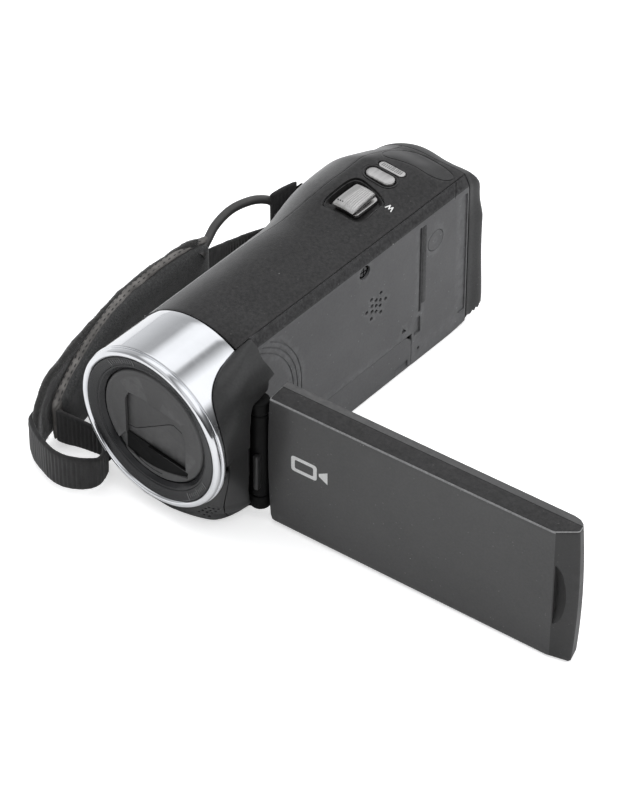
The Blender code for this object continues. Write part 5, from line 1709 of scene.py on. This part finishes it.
def strap_pad():
    """Cushion of the strap, its edge binding and the binding's two rows of stitches."""
    pad = inflate(band("strap_pad_cushion", PAD_PATH, 4.0, 0.8, 16), 1.0, 4.0, 0.9)
    dress(pad, "housing", "pad_black", "pad", "strap_pad")

    def swell(distance, share):
        seam = 0.28 if abs(share - 0.90) < 0.03 else 0.0
        return 0.10 * math.sin(distance * 0.5) * math.sin(share * 3) - seam

    binding = bake(band("strap_binding", BINDING_PATH, 2.8, 0.6, 30, swell, 0.10), 60)
    dress(binding, "housing", "pad_black", "binding")
    pitch, length, sunk = 1.6, 1.05, 0.16
    points = even_steps(BINDING_PATH, pitch)
    stitches = bmesh.new()
    for offset in (-0.62, 0.62):
        for near, far in zip(points[1:-2], points[2:-1]):
            along = (far.xy - near.xy).normalized()
            start = near.xy + Vector((along.y, -along.x)) * offset
            end = start + along * length
            rise = near.w + (far.w - near.w) * 0.65
            add_stitch(stitches, (*start, near.w - sunk), (*end, rise - sunk), 0.17)
    dress(bake(make("strap_binding_stitches", stitches), 60), "housing", "pad_black", "thread")


def add_stitch(bm, start, end, radius):
    """Thread between two points: a six-sided bead with pointed ends."""
    start, end = Vector(start), Vector(end)
    along = (end - start).normalized()
    side = along.orthogonal().normalized()
    other = along.cross(side)
    turns = spread(0, 2 * math.pi * 5 / 6, 6)
    rings = []
    for share in (0.25, 0.75):
        middle = start.lerp(end, share) + Vector((0, 0, radius * 0.5))
        rings.append(add_points(bm, around(middle, side, other, radius, turns)))
    first, last = add_points(bm, (start, end))
    faces = []
    for k in range(6):
        m = (k + 1) % 6
        faces.append(bm.faces.new((rings[0][k], rings[0][m], rings[1][m], rings[1][k])))
        faces.append(bm.faces.new((rings[0][m], rings[0][k], first)))
        faces.append(bm.faces.new((rings[1][k], rings[1][m], last)))
    bmesh.ops.recalc_face_normals(bm, faces=faces)


def strap_flap():
    """Flap of loop fastener over the strap, with loose fibres and a pulled thread at its end."""
    def swell(distance, share):
        return 0.22 * noise.noise(Vector((distance * 0.35, share * 4.0, 1.7)))

    flap = inflate(band("strap_flap_nap", FLAP_PATH, 2.4, 0.7, 22, swell, 0.22), 0.75, 3.0, 0.5)
    dress(flap, "housing", "pad_black", "loop", "strap_flap")
    dress(hairs("strap_flap_fibres", flap, 5200, 0.75, 0.045, 7), "housing", "pad_black", "loop")
    loop = [Vector((-41.2 + 1.1 * math.cos(a), -4.6 + 0.6 * math.sin(a), 12.8 + 2.2 * math.sin(a)))
            for a in spread(-1.4, 4.4, 28)]
    dress(tube("strap_thread_loop", loop, lambda share: 0.4, 10), "housing", "pad_black", "thread")


def weave(depth):
    """Swelling of ribbed webbing: ribs stand across it, flat selvedges run along both edges."""
    pitch = 1.25

    def swell(distance, share):
        selvedge = 1.0 if abs(share) < 0.86 else 0.25
        return depth * selvedge * (abs(math.sin(math.pi * distance / pitch)) - 0.5)
    return swell


def webbing():
    for name, path, thickness, rise, depth, rough, nodes in (
            ("strap_webbing_loop", LOOP_PATH, 1.5, 14, 0.34, 0.07, ["strap_webbing_front"]),
            ("strap_webbing_run", RUN_PATH, 1.4, 14, 0.34, 0.06, []),
            ("strap_webbing_back", BACK_PATH, 1.5, 18, 0.34, 0.07, ["strap_webbing_rear"]),
            ("cable_tab_webbing", TAB_PATH, 1.5, 14, 0.2, 0.05, ["cable_tab"])):
        made = bake(band(name, path, thickness, 0.3, rise, weave(depth), rough), 70)
        dress(made, "housing", "webbing_black", "webbing", *nodes)


def cable():
    """Cord along the strap, with a ribbed strain relief at each end."""
    def width(share):
        relief = 0.5 * (1 - smooth_step(share, 0.0, 0.10)) + 0.3 * smooth_step(share, 0.93, 1.0)
        return 1.35 + relief * (0.8 + 0.2 * math.cos(share * 260))

    made = tube("cable_jacket", curve_through(CABLE_PATH, 12), width, 24)
    dress(made, "housing", "cable_rubber", "cable", "usb_cable")


# ---------------------------------------------------------------- pieces kept from the frame

KEPT = {
    "gloss": "image_sensor memory_card speaker microphone",
    "board": "sensor_board main_board lcd_board",
    "steel": "chassis card_holder hdmi_socket usb_socket hinge_pin tilt_shaft",
    "lens": "front_lens rear_lens",
    "shutter": "lens_barrel",
    "cap": "battery_holder",
    "battery": "battery lcd_module",
    "screen": "lcd_screen",
    # the strap anchors get the near-black painted-shade material
    "hinge": "strap_anchor_front strap_anchor_rear",
}


def finish_kept():
    """Gives the frame's own pieces that stay visible their materials."""
    for look, names in KEPT.items():
        for name in names.split():
            node = frame["nodes"][name]
            node.data.materials.clear()
            give(node, look)


# ---------------------------------------------------------------- floor, light and camera

def aim(thing, target):
    thing.rotation_euler = (Vector(target) - thing.location).to_track_quat("-Z", "Y").to_euler()


def overhead_light():
    """Broad soft box above, which shiny surfaces do not mirror."""
    data = bpy.data.lights.new("overhead", "AREA")
    data.shape = "RECTANGLE"
    data.size = data.size_y = 2.4
    data.energy = 22.0
    light = bpy.data.objects.new("overhead", data)
    light.location = (0.0, 0.1, 1.6)
    light.visible_glossy = False
    bpy.context.scene.collection.objects.link(light)
    aim(light, (0.0, 0.0, 0.0))


def floor():
    """Pale floor whose shadows look fainter to the camera than they are."""
    bm = bmesh.new()
    bmesh.ops.create_grid(bm, x_segments=1, y_segments=1, size=3.0)
    made = make("studio_floor", bm, lambda x, y, z: Vector((x, y, z)))
    made.location.z = -0.0001
    m = Nodes("pale floor", (0.86, 0.86, 0.86), 0.7)
    seen = m.node("LightPath").outputs["Is Camera Ray"]
    m.settle(Emission_Color=(1.0, 1.0, 1.0, 1.0))
    m.link(m.maths("MULTIPLY", seen, 0.55), m.shader.inputs["Emission Strength"])
    made.data.materials.append(m.made)


# Angle about the camcorder's length, from the screen side over the top, and brightness of the surround
SKY = [(-180, 0.66), (-90, 0.5), (0, 0.10), (8, 0.06), (18, 0.11), (27, 0.22), (33, 0.75), (37, 1.02),
       (66, 1.05), (72, 0.82), (78, 0.52), (84, 0.30), (88, 0.34), (93, 0.95), (110, 1.02), (124, 0.95),
       (130, 0.70), (136, 0.40), (146, 0.42), (156, 0.50), (166, 0.59), (176, 0.66)]
SKY_LEVEL = 0.9


FRONT_LEVEL = 0.62       # how much of the surround is left in front of the camcorder


def sky():
    """Studio surround: two broad soft boxes along the length with dark gaps between and below them."""
    scene = bpy.context.scene
    scene.world = bpy.data.worlds.new("studio")
    scene.world.use_nodes = True
    tree = scene.world.node_tree

    def node(kind, **values):
        made = tree.nodes.new("ShaderNode" + kind)
        for name, value in values.items():
            made.inputs[name.replace("_", " ")].default_value = value
        return made

    def link(source, name, target, socket):
        tree.links.new(source.outputs[name], target.inputs[socket])

    split = node("SeparateXYZ")
    link(node("TexCoord"), "Generated", split, "Vector")
    turn = node("Math")
    turn.operation = "ARCTAN2"
    link(split, "Z", turn, 0)
    link(split, "X", turn, 1)
    share = node("MapRange", From_Min=-math.pi, From_Max=math.pi)
    link(turn, 0, share, "Value")
    ramp = node("ValToRGB")
    link(share, "Result", ramp, "Fac")
    stops = ramp.color_ramp.elements
    while len(stops) < len(SKY):
        stops.new(0.5)
    for stop, (angle, value) in zip(stops, SKY):
        stop.position = (angle + 180) / 360
        stop.color = [value / SKY_LEVEL * tone for tone in (0.985, 0.995, 1.015)] + [1.0]
    background = tree.nodes["Background"]
    link(ramp, "Color", background, "Color")
    front = node("MapRange", From_Min=-0.35, From_Max=-0.05, To_Min=FRONT_LEVEL, To_Max=1.0)
    front.interpolation_type = "SMOOTHSTEP"
    link(split, "Y", front, "Value")
    link(front, "Result", background, "Strength")


def camera():
    data = bpy.data.cameras.new("camera")
    data.lens = 175.8
    data.sensor_width = 36.0
    data.shift_x = 0.0053
    data.shift_y = -0.0085
    data.clip_start = 0.01
    made = bpy.data.objects.new("camera", data)
    made.location = (0.5550, -0.6402, 0.7676)
    bpy.context.scene.collection.objects.link(made)
    aim(made, (0.0231, -0.024, 0.0313))
    made.rotation_euler.rotate_axis("Z", math.radians(-0.16))
    bpy.context.scene.camera = made


def main():
    bpy.context.scene.view_settings.view_transform = "Standard"
    top_cover()
    grip_cover()
    base_cover()
    side_cover()
    front_side_cover()
    front_lower_cover()
    rear_cap()
    chrome_sleeve()
    lens_ring()
    barrier_plate()
    barrier_blades()
    zoom_well()
    zoom_lever()
    zoom_letter()
    top_buttons()
    buttons()
    screws()
    tripod_socket()
    jack_cover()
    battery_cover()
    screen_cover()
    screen_bezel()
    panel_mark()
    joystick()
    hinge()
    strap_pad()
    strap_flap()
    webbing()
    cable()
    finish_kept()
    floor()
    sky()
    overhead_light()
    camera()


main()
